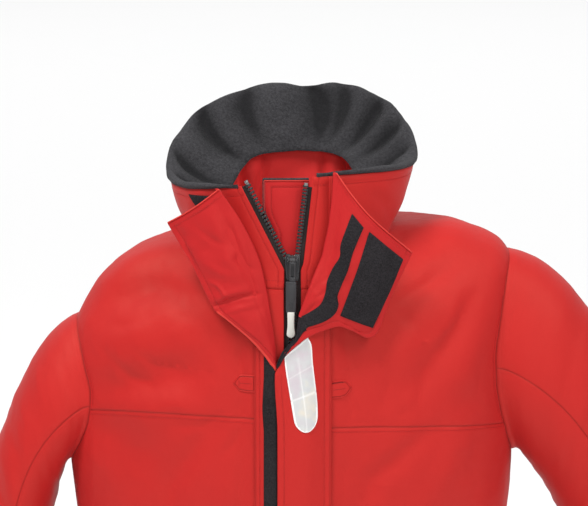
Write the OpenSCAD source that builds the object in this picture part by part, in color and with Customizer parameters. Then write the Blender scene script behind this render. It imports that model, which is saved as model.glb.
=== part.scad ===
// Foul weather jacket: sewn panels, a padded stand-up collar with a stowed hood, a full-length
// zip, two storm flaps folded back at the neck, hook-and-loop closures, pockets and cuffs.
// Millimetres. X is the wearer's left, -Y the front, +Z up.
// The origin is the centre of the neck opening at the height of the collar seam.

/* [Body] */
// Half the width of the body at the armpit
chest_w = 246; // [230:1:260]
// Half the width of the body at the hem
hem_w = 252; // [240:1:270]
// Depth of the back at the shoulder blades
back_d = 126; // [110:1:135]
// Height of the hem below the collar seam
hem_drop = 700; // [660:1:740]
// Thickness of the outer fabric
cloth_t = 2.4; // [2:0.1:3]
// How far the wearer's left shoulder stands above the right one, at the outside of each shoulder
shoulder_skew = 30; // [0:1:32]

/* [Front opening] */
// Half the width of the opening that shows the zip
zip_half = 9.5; // [9.5:0.1:10]
// Height of the middle of the zip slider
slider_z = -16; // [-20:1:-12]
// Distance from the centre line to the seam of each storm flap
seam_x = 40; // [40:1:42]
// Height at which both storm flaps lie closed
throat_z = -129; // [-132:1:-127]
// Thickness of a storm flap
flap_t = 2; // [1.6:0.1:2]

/* [Collar] */
// Height of the collar at the back
collar_back = 126; // [115:1:130]
// Thickness of the fleece
fleece_t = 5; // [4:0.5:6]
// Radius of the hood rolled inside the collar
hood_r = 11; // [9:0.5:12]

/* [Hidden] */

red = [0.80, 0.17, 0.18];
black = [0.16, 0.15, 0.16];
charcoal = [0.25, 0.25, 0.27];
silver = [0.88, 0.89, 0.88];

// ---- curves -----------------------------------------------------------------------------------

function mix(a, b, t) = a + (b - a) * t;
function clamp01(t) = max(0, min(1, t));
function ease(t) = let (c = clamp01(t)) c * c * (3 - 2 * c);
function unit(v) = v / max(norm(v), 1e-9);
function steps(a, b, n) = [for (i = [0:n]) mix(a, b, i / n)];

// A smooth line through the values of list p, at t from 0 to len(p) - 1.
function through(p, t) = let (
    n = len(p) - 1, i = max(0, min(floor(t), n - 1)), f = t - i,
    b = p[i], c = p[i + 1],
    a = i > 0 ? p[i - 1] : 2 * b - c,
    d = i + 2 <= n ? p[i + 2] : 2 * c - b
) 0.5 * (2 * b + (c - a) * f + (2 * a - 5 * b + 4 * c - d) * f * f + (3 * b - a - 3 * c + d) * f * f * f);

// A Bezier curve over four points.
function bezier(p, t) = let (r = 1 - t)
    r * r * r * p[0] + 3 * r * r * t * p[1] + 3 * r * t * t * p[2] + t * t * t * p[3];

// A smooth surface through rows of points: u runs along the rows, v along each row.
function patch(rows, u, v) = through([for (r = rows) through(r, v)], u);

// ---- sheets -----------------------------------------------------------------------------------

// A closed solid between two grids of points with the same rows and columns. Seen from the side of
// the first grid, its rows run one after another to the right of the way its columns run.
module sheet(outer, inner) {
    rows = len(outer);
    cols = len(outer[0]);
    count = rows * cols;
    points = concat([for (r = inner) for (p = r) p], [for (r = outer) for (p = r) p]);
    function at(i, j) = i * cols + j;
    faces = concat(
        [for (i = [0:rows - 2]) for (j = [0:cols - 2])
            each [[at(i, j), at(i + 1, j), at(i + 1, j + 1)], [at(i, j), at(i + 1, j + 1), at(i, j + 1)]]],
        [for (i = [0:rows - 2]) for (j = [0:cols - 2])
            each [[count + at(i, j), count + at(i + 1, j + 1), count + at(i + 1, j)],
                  [count + at(i, j), count + at(i, j + 1), count + at(i + 1, j + 1)]]],
        [for (i = [0:rows - 2]) for (j = [0, cols - 1]) each wall(at(i, j), at(i + 1, j), count, j == 0)],
        [for (j = [0:cols - 2]) for (i = [0, rows - 1]) each wall(at(i, j), at(i, j + 1), count, i != 0)]
    );
    polyhedron(points, faces, convexity = 8);
}

// The two triangles that join edge a-b of the outer grid to the inner grid.
function wall(a, b, count, flip) = flip
    ? [[a, count + b, b], [a, count + a, count + b]]
    : [[a, b, count + b], [a, count + b, count + a]];

// The outward direction of grid g at row i, column j. hand is 1 or -1 and picks the side.
function facing(g, i, j, hand) = let (
    r = len(g) - 1, c = len(g[0]) - 1,
    down = g[min(i + 1, r)][j] - g[max(i - 1, 0)][j],
    along = g[i][min(j + 1, c)] - g[i][max(j - 1, 0)]
) hand * unit(cross(along, down));

// Grid g moved by distance d along its own outward direction.
function raised(g, d, hand) =
    [for (i = [0:len(g) - 1]) [for (j = [0:len(g[0]) - 1]) g[i][j] + d * facing(g, i, j, hand)]];

// ---- the body ---------------------------------------------------------------------------------

// The front edge of the body hangs in one straight line, so that the zip is straight.
front_y = -118;
front_lean = 0.046;
function front_line(z) = front_y - front_lean * (slider_z - z);

// The body's stations from the collar seam to the hem:
// half width, height at the side, at the front, at the back, depth of the back, roundness.
body = [
    [106, 6, -40, 18, 74, 2.5],
    [146, -1, -66, 0, 92, 2.4],
    [192, -17, -95, -35, 108, 2.35],
    [236, -56, -130, -80, 118, 2.35],
    [246, -150, -180, -160, back_d, 2.4],
    [chest_w, -250, -255, -250, back_d + 2, 2.45],
    [chest_w - 10, -400, -400, -400, 120, 2.45],
    [hem_w - 10, -560, -560, -560, 122, 2.45],
    [hem_w, -hem_drop, -hem_drop, -hem_drop, 128, 2.45]
];
shoulder = 3;
yoke = 4;
armpit = 5;
hem = 8;

// The left shoulder is held higher than the right one.
function skew(x, z) = sign(x) * shoulder_skew * pow(x / 214, 2) * ease((z + 300) / 230);

// A point on the body: angle a round it, 0 at the front and 90 at the wearer's left, station s,
// and o outwards from the fabric's outside.
function body_at(a, s) = let (
    k = through(body, s), e = 2 / k[5], sa = sin(a), ca = cos(a),
    x = k[0] * sign(sa) * pow(abs(sa), e),
    z = mix(k[1], ca > 0 ? k[2] : k[3], pow(abs(ca), 1.5)),
    depth = ca > 0 ? -front_line(k[2]) : k[4]
) [x, -sign(ca) * depth * pow(abs(ca), e), z + skew(x, z)];

function body_out(a, s) = let (
    da = body_at(a + 1.5, s) - body_at(a - 1.5, s),
    ds = body_at(a, min(s + 0.03, hem)) - body_at(a, max(s - 0.03, 0))
) unit(cross(ds, da));

function body_off(a, s, o) = body_at(a, s) + o * body_out(a, s);

// The angle at which the body is x away from the centre line.
function angle_at(x, s) = let (k = through(body, s)) sign(x) * asin(pow(abs(x) / k[0], k[5] / 2));

// The station at which the front is at height z.
function station(z, lo = 0, hi = 8, n = 24) = n == 0 ? (lo + hi) / 2
    : let (mid = (lo + hi) / 2)
        through(body, mid)[2] > z ? station(z, mid, hi, n - 1) : station(z, lo, mid, n - 1);

// A point in front of the body: x from the centre line, height z, o outwards.
function front_at(x, z, o) = let (s = station(z)) body_off(angle_at(x == 0 ? 0.01 : x, s), s, o);

// The armhole, as an angle from the side seam.
arm_open = 28;
function arm_cut(s) = arm_open * sqrt(max(0, 1 - pow(s - yoke, 2)));

yoke_rows = concat(steps(0, 2.5, 5), [for (f = [0:15:90]) yoke - cos(f)]);
panel_rows = concat([for (f = [90:15:180]) yoke - cos(f)], steps(5.5, hem, 5));

// A body panel between columns that run from angle from(s) to angle to(s), o outwards.
module front_piece(side, rows, cols = 9, o = 0, t = cloth_t, x_edge = zip_half) {
    angles = function(s) steps(angle_at(x_edge, s), 90 - arm_cut(s), cols);
    outer = [for (s = rows) [for (a = angles(s)) body_off(side * a, s, o)]];
    inner = [for (s = rows) [for (a = angles(s)) body_off(side * a, s, o - t)]];
    if (side > 0) sheet(outer, inner);
    else sheet(inner, outer);
}

module back_piece(rows, cols = 18, o = 0, t = cloth_t) {
    angles = function(s) steps(90 + arm_cut(s), 270 - arm_cut(s), cols);
    sheet([for (s = rows) [for (a = angles(s)) body_off(a, s, o)]],
          [for (s = rows) [for (a = angles(s)) body_off(a, s, o - t)]]);
}

module front_yoke_left() { color(red) front_piece(1, yoke_rows); }
module front_yoke_right() { color(red) front_piece(-1, yoke_rows); }
module front_panel_left() { color(red) front_piece(1, panel_rows); }
module front_panel_right() { color(red) front_piece(-1, panel_rows); }
module back_yoke() { color(red) back_piece(yoke_rows); }
module back_panel() { color(red) back_piece(panel_rows); }

// The turned-up hem inside the bottom edge, open at the front.
hem_gap = 25;
module hem_band() {
    angles = function(s) steps(angle_at(hem_gap, s), 360 - angle_at(hem_gap, s), 32);
    rows = [7.75, hem];
    color(red) sheet([for (s = rows) [for (a = angles(s)) body_off(a, s, -cloth_t - 3.4)]],
                     [for (s = rows) [for (a = angles(s)) body_off(a, s, -cloth_t - 5.4)]]);
}

// The lining hangs inside the outer fabric.
lining_o = -cloth_t - 3;
lining_t = 1.4;
lining_x = 30;
lining_rows = concat([0.15, 1, 2], [for (f = [0:30:180]) yoke - cos(f)], [6, 7, 7.7]);
module body_lining_left() { color(charcoal) front_piece(1, lining_rows, 6, lining_o, lining_t, lining_x); }
module body_lining_right() { color(charcoal) front_piece(-1, lining_rows, 6, lining_o, lining_t, lining_x); }
module body_lining_back() { color(charcoal) back_piece(lining_rows, 14, lining_o, lining_t); }

// ---- the sleeves ------------------------------------------------------------------------------

// The sleeve's top and underarm lines in the plane y = 0, from the armhole to the cuff.
sleeve_top_left = [[350, -30], [462, -330], [516, -600]];
sleeve_under_left = [[282, -262], [350, -430], [424, -646]];
sleeve_top_right = [[318, -118], [394, -400], [400, -690]];
sleeve_under_right = [[262, -262], [290, -420], [300, -702]];
arm_forward = 46;
arm_depths = [66, 72, 70, 64, 57, 51, 46];

function flat_point(p, side) = [side * p[0], 0, p[1]];
function sleeve_line(pts, start, side, t) = bezier(concat([start], [for (p = pts) flat_point(p, side)]), t);

function sleeve_top(side, t) =
    sleeve_line(side > 0 ? sleeve_top_left : sleeve_top_right, body_at(side * 90, shoulder), side, t);
function sleeve_under(side, t) =
    sleeve_line(side > 0 ? sleeve_under_left : sleeve_under_right, body_at(side * 90, armpit), side, t);

function armhole(side, f) = [side * (90 - arm_open * sin(f)), yoke - cos(f)];
function sleeve_ring(side, f, t) = let (top = sleeve_top(side, t), low = sleeve_under(side, t))
    (top + low) / 2 + (top - low) / 2 * cos(f)
    + [0, -sin(f) * through(arm_depths, 6 * t) - arm_forward * t * t, 0];

// A point on the sleeve: angle f, 0 on top and 90 at the front, and t from armhole to cuff.
function sleeve_at(side, f, t) = let (h = armhole(side, f), start = body_at(h[0], h[1]))
    sleeve_ring(side, f, t) + (start - sleeve_ring(side, f, 0)) * (1 - ease(t / 0.4));

function sleeve_out(side, f, t) = let (h = armhole(side, f)) t <= 0 ? body_out(h[0], h[1]) : let (
    df = sleeve_at(side, f + 2, t) - sleeve_at(side, f - 2, t),
    dt = sleeve_at(side, f, min(t + 0.01, 1)) - sleeve_at(side, f, t - 0.01)
) side * unit(cross(df, dt));

function sleeve_off(side, f, t, o) = sleeve_at(side, f, t) + o * sleeve_out(side, f, t);

sleeve_rows = [0.0015, 0.04, 0.1, 0.18, 0.28, 0.4, 0.52, 0.64, 0.78, 0.9, 0.95, 1];
module sleeve_piece(side, angles, rows, o, t) {
    outer = [for (r = rows) [for (f = angles) sleeve_off(side, f, r, o)]];
    inner = [for (r = rows) [for (f = angles) sleeve_off(side, f, r, o - t)]];
    if (side > 0) sheet(inner, outer);
    else sheet(outer, inner);
}

module top_sleeve_left() { color(red) sleeve_piece(1, [-90:15:90], sleeve_rows, 0, cloth_t); }
module top_sleeve_right() { color(red) sleeve_piece(-1, [-90:15:90], sleeve_rows, 0, cloth_t); }
module under_sleeve_left() { color(red) sleeve_piece(1, [90:15:270], sleeve_rows, 0, cloth_t); }
module under_sleeve_right() { color(red) sleeve_piece(-1, [90:15:270], sleeve_rows, 0, cloth_t); }

// A tube of cloth inside or outside the sleeve, from t = a to t = b.
module sleeve_tube(side, rows, o, t, turn = 30) {
    angles = [for (f = [0:turn:360 - turn]) f];
    n = len(angles);
    m = len(rows);
    ring = function(r, d) [for (f = angles) sleeve_off(side, f, r, d)];
    points = concat([for (r = rows) each ring(r, o)], [for (r = rows) each ring(r, o - t)]);
    at = function(layer, i, j) layer * m * n + i * n + (j % n);
    quad = function(a, b, c, d) side < 0 ? [[a, c, b], [a, d, c]] : [[a, b, c], [a, c, d]];
    faces = concat(
        [for (i = [0:m - 2]) for (j = [0:n - 1])
            each quad(at(0, i, j), at(0, i + 1, j), at(0, i + 1, j + 1), at(0, i, j + 1))],
        [for (i = [0:m - 2]) for (j = [0:n - 1])
            each quad(at(1, i, j), at(1, i, j + 1), at(1, i + 1, j + 1), at(1, i + 1, j))],
        [for (j = [0:n - 1]) each quad(at(0, 0, j), at(0, 0, j + 1), at(1, 0, j + 1), at(1, 0, j))],
        [for (j = [0:n - 1])
            each quad(at(0, m - 1, j), at(1, m - 1, j), at(1, m - 1, j + 1), at(0, m - 1, j + 1))]
    );
    polyhedron(points, faces, convexity = 8);
}

arm_lining_rows = [0.06, 0.18, 0.34, 0.5, 0.66, 0.82, 0.97];
module sleeve_lining_left() { color(charcoal) sleeve_tube(1, arm_lining_rows, lining_o, lining_t); }
module sleeve_lining_right() { color(charcoal) sleeve_tube(-1, arm_lining_rows, lining_o, lining_t); }

// The cuff is a double band outside the end of the sleeve.
cuff_from = 0.9;
cuff_t = 2.6;
module cuff(side) { color(red) sleeve_tube(side, [cuff_from, 0.95, 1], 0.1 + cuff_t, cuff_t, 15); }
module cuff_left() { cuff(1); }
module cuff_right() { cuff(-1); }

// The loop pad and the strap that tightens the cuff, on the outside of the forearm.
cuff_o = 0.1 + cuff_t;
module cuff_pad(side, f0, f1, t0, t1, o, t) {
    outer = [for (r = steps(t0, t1, 2)) [for (f = steps(f0, f1, 4)) sleeve_off(side, f, r, o + t)]];
    inner = [for (r = steps(t0, t1, 2)) [for (f = steps(f0, f1, 4)) sleeve_off(side, f, r, o)]];
    if (side > 0) sheet(inner, outer);
    else sheet(outer, inner);
}
module cuff_loop_left() { color(black) cuff_pad(1, -20, 40, 0.93, 0.975, cuff_o + 0.8, 1.2); }
module cuff_loop_right() { color(black) cuff_pad(-1, -20, 40, 0.93, 0.975, cuff_o + 0.8, 1.2); }

// The strap is stiff and flat, so it turns about its sewn end.
strap_l = 62;
strap_w = 26;
strap_t = 3;
module cuff_strap(side) {
    root = sleeve_off(side, -34, 0.953, cuff_o + 3.2);
    tip = sleeve_off(side, 40, 0.953, cuff_o + 3.4);
    along = unit(tip - root);
    out = unit(sleeve_out(side, 3, 0.953));
    across = unit(cross(out, along));
    bow = [0, 8, 12.5, 13.5, 11, 4.6];
    line = [for (k = [0:5]) root + along * strap_l * k / 5 + out * bow[k]];
    g = function(d) [for (p = line) [for (k = [-0.5, 0.5]) p + side * k * strap_w * across + d * out]];
    color(red) sheet(g(strap_t), g(0));
}
module cuff_strap_left() { cuff_strap(1); }
module cuff_strap_right() { cuff_strap(-1); }

// ---- the collar -------------------------------------------------------------------------------

// The rim, from the wearer's right front corner round the back to the left front corner.
rim = [
    [-55, -114, 71], [-88, -92, 63], [-118, -54, 54], [-133, -8, 56], [-128, 40, 84], [-88, 76, 120],
    [0, 92, collar_back + 12],
    [88, 80, 128], [124, 45, 102], [133, 0, 80], [118, -48, 78], [78, -90, 81], [22, -113.5, 82]
];
split_z = slider_z - 2;

// Where the opening's edge stands at height z: the left edge leans less than the right one.
function edge_x(side, z) = z < split_z ? side * zip_half : side > 0
    ? zip_half + 2 * clamp01((z - split_z) / 6) + 11 * clamp01((z - split_z) / 95)
    : -zip_half - (55 - zip_half) * (z - split_z) / (71 - split_z);

neck_a = angle_at(zip_half, 0);
function neck_angle(c) = mix(360 - neck_a, neck_a, c);
function near_edge(c) = 1 - ease(min(c, 1 - c) * 7);

// A point on the collar: c from 0 to 1 round it from the wearer's right, u from the seam to the rim.
function collar_plain(c, u) = let (
    base = body_at(neck_angle(c), 0) + [0, 0, 0.5], top = through(rim, 12 * c),
    out = unit([base[0], base[1] * 0.9, 0])
) mix(base, top, u) + out * 5 * sin(180 * u) * (1 - near_edge(c));
function collar_at(c, u) = let (p = collar_plain(c, u), side = c < 0.5 ? -1 : 1)
    [mix(p[0], edge_x(side, p[2]) + (p[0] - collar_plain(c < 0.5 ? 0 : 1, u)[0]), near_edge(c)), p[1], p[2]];
function collar_out(c, u) = let (
    dc = collar_at(min(c + 0.01, 1), u) - collar_at(max(c - 0.01, 0), u),
    du = collar_at(c, min(u + 0.02, 1)) - collar_at(c, max(u - 0.02, 0))
) unit(cross(du, dc));
function collar_off(c, u, o) = collar_at(c, u) + o * collar_out(c, u);

collar_cols = concat([0, 0.02, 0.05], steps(0.09, 0.91, 22), [0.95, 0.98, 1]);
collar_rows = [0, 0.1, 0.2, 0.24, 0.3, 0.45, 0.6, 0.8, 1];
module collar_shell() {
    color(red) sheet([for (u = collar_rows) [for (c = collar_cols) collar_off(c, u, 0)]],
                     [for (u = collar_rows) [for (c = collar_cols) collar_off(c, u, -cloth_t)]]);
}

// The inner edge of the fleece, from the wearer's right round the back.
fleece_edge = [
    [-64, -92, 14], [-84, -40, 24], [-74, 16, 44], [0, 52, 72], [76, 16, 50], [86, -40, 40], [34, -96, 24]
];

// A point on the fleece: w from the rim to its inner edge.
function fleece_at(c, w) = let (
    top = collar_off(c, 0.985, -cloth_t - 0.5 - fleece_t * 0.5), low = through(fleece_edge, 6 * c),
    cen = [0, -20, 0], in = unit([cen[0] - top[0], cen[1] - top[1], 0])
) mix(top, low, w) - in * 6 * sin(180 * w) * sin(180 * c);
fleece_cols = steps(0.11, 0.89, 24);
fleece_ws = steps(0.02, 1, 5);
module collar_fleece() {
    g = [for (w = fleece_ws) [for (c = fleece_cols) fleece_at(c, w)]];
    color(charcoal) sheet(raised(g, -fleece_t, 1), raised(g, -fleece_t * 0.3, 1));
}

// The facing goes down from the fleece to the neck seam.
function facing_at(c, w) = let (top = fleece_at(c, 1) + [0, 0, -1], low = body_off(neck_angle(c), 0.05, -14))
    mix(top, low, w);
facing_cols = steps(0.2, 0.8, 16);
module collar_facing() {
    g = [for (w = [0.04, 0.35, 0.65, 1]) [for (c = facing_cols) facing_at(c, w)]];
    color(red) sheet(raised(g, -0.8, 1), raised(g, 0.8, 1));
}

// A round roll along a line of points.
module roll(line, r, n = 12) {
    m = len(line);
    ring = function(i) let (
        d = unit(line[min(i + 1, m - 1)] - line[max(i - 1, 0)]),
        a = unit(cross(d, [0, 0, 1])),
        b = cross(d, a)
    ) [for (k = [0:n - 1]) line[i] + r * (a * cos(360 * k / n) + b * sin(360 * k / n))];
    points = [for (i = [0:m - 1]) each ring(i)];
    faces = concat(
        [for (i = [0:m - 2]) for (k = [0:n - 1]) let (j = (k + 1) % n)
            each [[i * n + k, i * n + n + j, i * n + j], [i * n + k, i * n + n + k, i * n + n + j]]],
        [[for (k = [0:n - 1]) k], [for (k = [0:n - 1]) m * n - 1 - k]]
    );
    polyhedron(points, faces, convexity = 8);
}
function hood_line(c) = let (out = collar_at(c, 0.5), in = facing_at(c, 0.1)) mix(out, in, 0.46) + [0, 0, 2];
module stowed_hood() { color(red) roll([for (c = steps(0.24, 0.76, 16)) hood_line(c)], hood_r); }

// The hang loop stands off the inside of the neck facing.
loop_w = 8;
module hang_loop() {
    top = facing_at(0.5, 0.9);
    line = [for (x = steps(-30, 30, 8)) [x, top[1] - 4 - 10 * sqrt(max(0, 1 - pow(x / 31, 2))), top[2] + 2]];
    wide = [for (k = [0, 1]) [for (p = line) p + [0, 0, -k * loop_w]]];
    color(black) sheet([for (r = wide) [for (p = r) p + [0, -1.2, 0]]], wide);
}

module collar_loop_patch() {
    cols = steps(0.085, 0.15, 4);
    g = function(o) [for (u = [0.62, 0.75, 0.88]) [for (c = cols) collar_off(c, u, o)]];
    color(black) sheet(g(1.4), g(0.2));
}

// ---- the zip ----------------------------------------------------------------------------------

hem_z = -hem_drop;
zip_bottom = hem_z + 22;
neck_z = collar_at(0, 0)[2] + 1;
zip_zs = concat(
    steps(zip_bottom, -60, 12), steps(neck_z, split_z, 3), [split_z + 6], steps(split_z + 18, 66, 5)
);

// The opening's edge at height z, in the fabric's outside.
function edge_at(side, z) = z < neck_z ? front_at(side * zip_half, z, 0)
    : let (c = side < 0 ? 0 : 1, u = (z - collar_at(c, 0)[2]) / (collar_at(c, 1)[2] - collar_at(c, 0)[2]))
        [edge_x(side, z), collar_at(c, u)[1], z];

// A point k from that edge towards the middle of the opening, o outwards.
function chain_at(side, z, k, o) = let (
    along = unit(edge_at(side, z + 4) - edge_at(side, z - 4)),
    out = unit(cross([side, side * 0.02, 0], side * along)),
    in = unit(cross(out, side * along))
) edge_at(side, z) + in * k + out * o;

module chain(side, k0, k1, o0, o1) {
    g = function(o) [for (z = zip_zs) [for (k = side > 0 ? [k0, (k0 + k1) / 2, k1] : [k1, (k0 + k1) / 2, k0])
        chain_at(side, z, k, o - 1.9 * ease((z - 2) / 16))]];
    sheet(g(o1), g(o0));
}
teeth_in = 9.3;
teeth_out = 6.3;
module zip_tape_left() { color(black) chain(1, -2, teeth_out - 0.3, -3.7, -2.9); }
module zip_tape_right() { color(black) chain(-1, -2, teeth_out - 0.3, -3.7, -2.9); }
module zip_teeth_left() { color(black) chain(1, teeth_out, teeth_in, -4.6, -2); }
module zip_teeth_right() { color(black) chain(-1, teeth_out, teeth_in, -4.6, -2); }
module zip_top_stops() {
    color(silver) for (side = [-1, 1])
        translate(chain_at(side, 70.5, 7.8, -4.7))
            rotate([front_tilt, 0, 0]) cube([4, 4.4, 5], center = true);
}

// The slider's own frame: y inwards, z up the chain, origin where the chain's outside meets it.
front_tilt = -atan(front_lean);
module on_chain(z) { translate([0, front_line(z), z]) rotate([front_tilt, 0, 0]) children(); }
module zip_box() {
    color(black) on_chain(zip_bottom - 5.5) translate([0, 3.3, 0]) cube([13, 5, 9], center = true);
}

slider_l = 28;
slider_w = 15.6;
bar_z = 9;
bar_y = -2;
bar_r = 1;
module plate(y, t) {
    translate([0, y + t / 2, 0]) rotate([90, 0, 0]) linear_extrude(t, center = true) hull() {
        translate([0, slider_l / 2 - 4]) square([slider_w, 8], center = true);
        translate([0, -slider_l / 2 + 2]) square([slider_w - 5, 4], center = true);
    }
}
module zip_slider() {
    color(black) on_chain(slider_z) {
        plate(0.5, 1.2);
        plate(4.9, 1.2);
        translate([0, 3.3, 9.4]) cube([2.2, 4.4, 8], center = true);
        for (x = [-4.6, 4.6]) translate([x, -1, bar_z]) cube([1.4, 3.6, 4], center = true);
        translate([0, bar_y, bar_z])
            rotate([0, 90, 0]) cylinder(h = 9.6, r = bar_r, center = true, $fn = 24);
    }
}

// The link hangs on the slider's bar; the tab and its rubber end hang on the link.
link_l = 23;
module zip_pull() {
    color(charcoal) on_chain(slider_z) translate([0, bar_y, bar_z]) difference() {
        union() {
            rotate([0, 90, 0]) cylinder(h = 6.4, r = 2.1, center = true, $fn = 32);
            translate([0, 0, -link_l / 2]) cube([6.4, 1.6, link_l], center = true);
        }
        rotate([0, 90, 0]) cylinder(h = 12, r = bar_r + 0.3, center = true, $fn = 32);
        translate([0, 0, -link_l / 2 - 2]) cube([2.8, 4, link_l - 12], center = true);
    }
}
tab_l = 33;
end_l = 27;
module zip_grip() {
    color(charcoal) on_chain(slider_z) translate([0, bar_y, bar_z - link_l - 0.2]) {
        translate([0, 0, -tab_l / 2]) cube([14.4, 3, tab_l], center = true);
        translate([-1.6, 0, -tab_l]) rotate([90, 0, 0]) linear_extrude(4.2, center = true) hull() {
            translate([0, -1]) square([7.4, 2], center = true);
            translate([0, -end_l + 4.6]) circle(r = 4.6, $fn = 32);
        }
    }
}

// The guard lies behind the chain and stands up behind the open collar.
guard_rows = concat(steps(hem_z + 10, -60, 8), [-30, 0, 20, 40, 60, 76, 86]);
guard_top = 86;
module guard_sheet() {
    left = function(z) -20 - 12 * ease((z - 20) / 66);
    right = function(z) z < -40 ? 20 : 9 + 8 * ease(z / 60);
    y = function(x, z) front_line(z) + (z < -40 ? 7 : 7 + 5 * ease((z + 40) / 60)) + pow(x / 20, 2);
    g = function(o) [for (z = guard_rows) [for (x = steps(left(z), right(z), 6)) [x, y(x, z) + o, z]]];
    sheet(g(1.8), g(0));
}
module zip_guard() { color(red) guard_sheet(); }

// ---- the storm flaps --------------------------------------------------------------------------

// Heights of the two closed flaps' undersides in front of the chain.
inner_h = function(x) 0.4 + 5.6 * ease((x + seam_x) / 22) * (1 - 0.5 * ease((x - 10) / 12));
outer_h = function(x) 1 + 8.6 * ease((seam_x - x) / 28);
function before(x, z, h) = [x, front_line(z) - h, z];

// A closed flap between columns x and rows z, from height a(x) to b(x).
module closed_flap(xs, zs, a, b) {
    g = function(h) [for (z = zs) [for (x = xs) before(x, z, h(x))]];
    sheet(g(a), g(b));
}
flap_zs = steps(hem_z + 14, throat_z - 4, 8);
outer_free = -17;
inner_free = 22;
outer_xs = steps(outer_free, seam_x - 0.5, 12);
module storm_flap_lower() {
    color(red) closed_flap(outer_xs, flap_zs, outer_h, function(x) outer_h(x) + flap_t);
}
module inner_flap_lower() {
    xs = steps(-seam_x, inner_free, 12);
    color(red) closed_flap(xs, flap_zs, inner_h, function(x) inner_h(x) + flap_t);
}
module flap_hook_strip_lower() {
    color(black) closed_flap(steps(-15, 3, 3), steps(hem_z + 24, throat_z - 14, 6),
        function(x) outer_h(x) - 0.9, function(x) outer_h(x) - 0.1);
}
module front_loop_strip() {
    color(black) closed_flap(steps(-34, -18, 4), steps(hem_z + 24, throat_z - 8, 6),
        function(x) inner_h(x) + flap_t + 0.1, function(x) inner_h(x) + flap_t + 1.1);
}

// The fold of the outer flap runs from the seam at the rim down to the free edge at the throat.
fold_top = [42, 84];
fold_foot = [-8, throat_z];
function fold_x(z) = mix(fold_foot[0], fold_top[0], (z - fold_foot[1]) / (fold_top[1] - fold_foot[1]));
module storm_flap_root() {
    zs = steps(throat_z - 2, 66, 10);
    g = function(d) [for (z = zs) [for (t = steps(0, 1, 6)) let (x = mix(fold_x(z) + 1, seam_x + 1, t))
        before(x, z, outer_h(x) + d)]];
    color(red) sheet(g(0), g(flap_t));
}

// The reflective patch, split where the flap starts to turn.
patch_xs = function(z) steps(mix(10, -12, clamp01((-86 - z) / 24)) + max(0, -112 - z) * 0.09,
    14 + max(0, -86 - z) * 0.1, 4);
module patch_sheet(zs) {
    g = function(d) [for (z = zs) [for (x = patch_xs(z)) before(x, z, outer_h(x) + flap_t + d)]];
    color(silver) sheet(g(0.4), g(0.9));
}
module reflective_patch() { patch_sheet(steps(-198, throat_z - 5, 5)); }
module reflective_patch_top() { patch_sheet([throat_z, -112, -100, -94]); }

// The outer flap's collar part lies folded back. Its rows go down the fold, each from the fold out.
tab_net = [
    [[47, -120, 84], [64, -125, 60], [88, -125, 30], [125, -113, -1]],
    [[25, -131, -3], [46, -136, -22], [76, -131, -37], [106, -119, -42]],
    [[19, -134, -29], [38, -137, -50], [62, -133, -70], [85, -125, -82]]
];
strip_net = [
    [[17, -135, -36], [27, -136.5, -47], [37, -137, -58], [46, -136.5, -67]],
    [[11, -136, -56], [17, -137, -65], [23, -137, -72], [28, -137, -79]],
    [[2, -136, -88], [5, -136.5, -90], [7, -136.5, -93], [9, -136.5, -96]]
];
function net_point(u, v) = u <= 2 ? patch(tab_net, u, v) : patch(strip_net, u - 3, v);
flap_us = concat(steps(0, 2, 6), steps(3, 5, 4));
module flap_piece(us, vs, a, b) {
    g = function(d) [for (u = us) [for (v = vs(u)) net_point(u, v) + [0, d, 0]]];
    sheet(g(b), g(a));
}
module storm_flap_collar() {
    color(red) flap_piece(flap_us, function(u) steps(0, 3, 9), flap_t, 0);
}
module chin_hook_patch() {
    color(black) flap_piece(steps(0.35, 1.9, 5), function(u) steps(1.9, 2.9, 4), -0.5, -1.6);
}
strip_at = [0.5, 1.2, 1.0, 1.4, 1.3, 1.4];
strip_wide = [0.62, 0.62, 0.7, 1.4, 1.4, 1.4];
module flap_hook_strip() {
    cols = function(u) steps(through(strip_at, u), through(strip_at, u) + through(strip_wide, u), 4);
    color(black) flap_piece(concat(steps(0.1, 2, 8), [3, 3.25, 3.5, 3.75, 4, 4.6]), cols, -0.6, -1.6);
}

// The inner flap's collar part lies folded back the other way.
lapel_net = [
    [[-70, -117, 68], [-100, -112, 50], [-118, -104, 40], [-135, -94, 28]],
    [[-49, -123, -9], [-74, -125, -10], [-92, -120, -11], [-111, -110, -12]],
    [[-41, -125, -45], [-60, -127, -44], [-76, -124, -43], [-90, -118, -43]],
    [[-35, -126.5, -70], [-54, -128, -66], [-72, -126, -62], [-88, -121, -58]],
    [[-28, -128, -100], [-31, -128.4, -101], [-34, -128.7, -102], [-37, -129, -103]]
];
module inner_flap_collar() {
    vs = steps(0, 3, 6);
    g = function(d) [for (u = steps(0, 4, 10)) [for (v = vs) patch(lapel_net, u, v) + [0, d, 0]]];
    color(red) sheet(g(flap_t), g(0));
}

// ---- trim and pockets -------------------------------------------------------------------------

// A pointed tab sewn flat on the front.
tab_xs = [43, 50, 55, 62];
tab_half = [7, 7, 7, 0.6];
module stitched_tab(side, z) {
    g = function(o) [for (k = [-1, 1]) [for (i = [0:3]) front_at(side * tab_xs[i], z + k * tab_half[i], o)]];
    color(red) if (side > 0) sheet(g(0.15), g(1.1));
    else sheet(g(1.1), g(0.15));
}
module stitched_tab_left() { stitched_tab(1, -146); }
module stitched_tab_right() { stitched_tab(-1, -143); }

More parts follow.
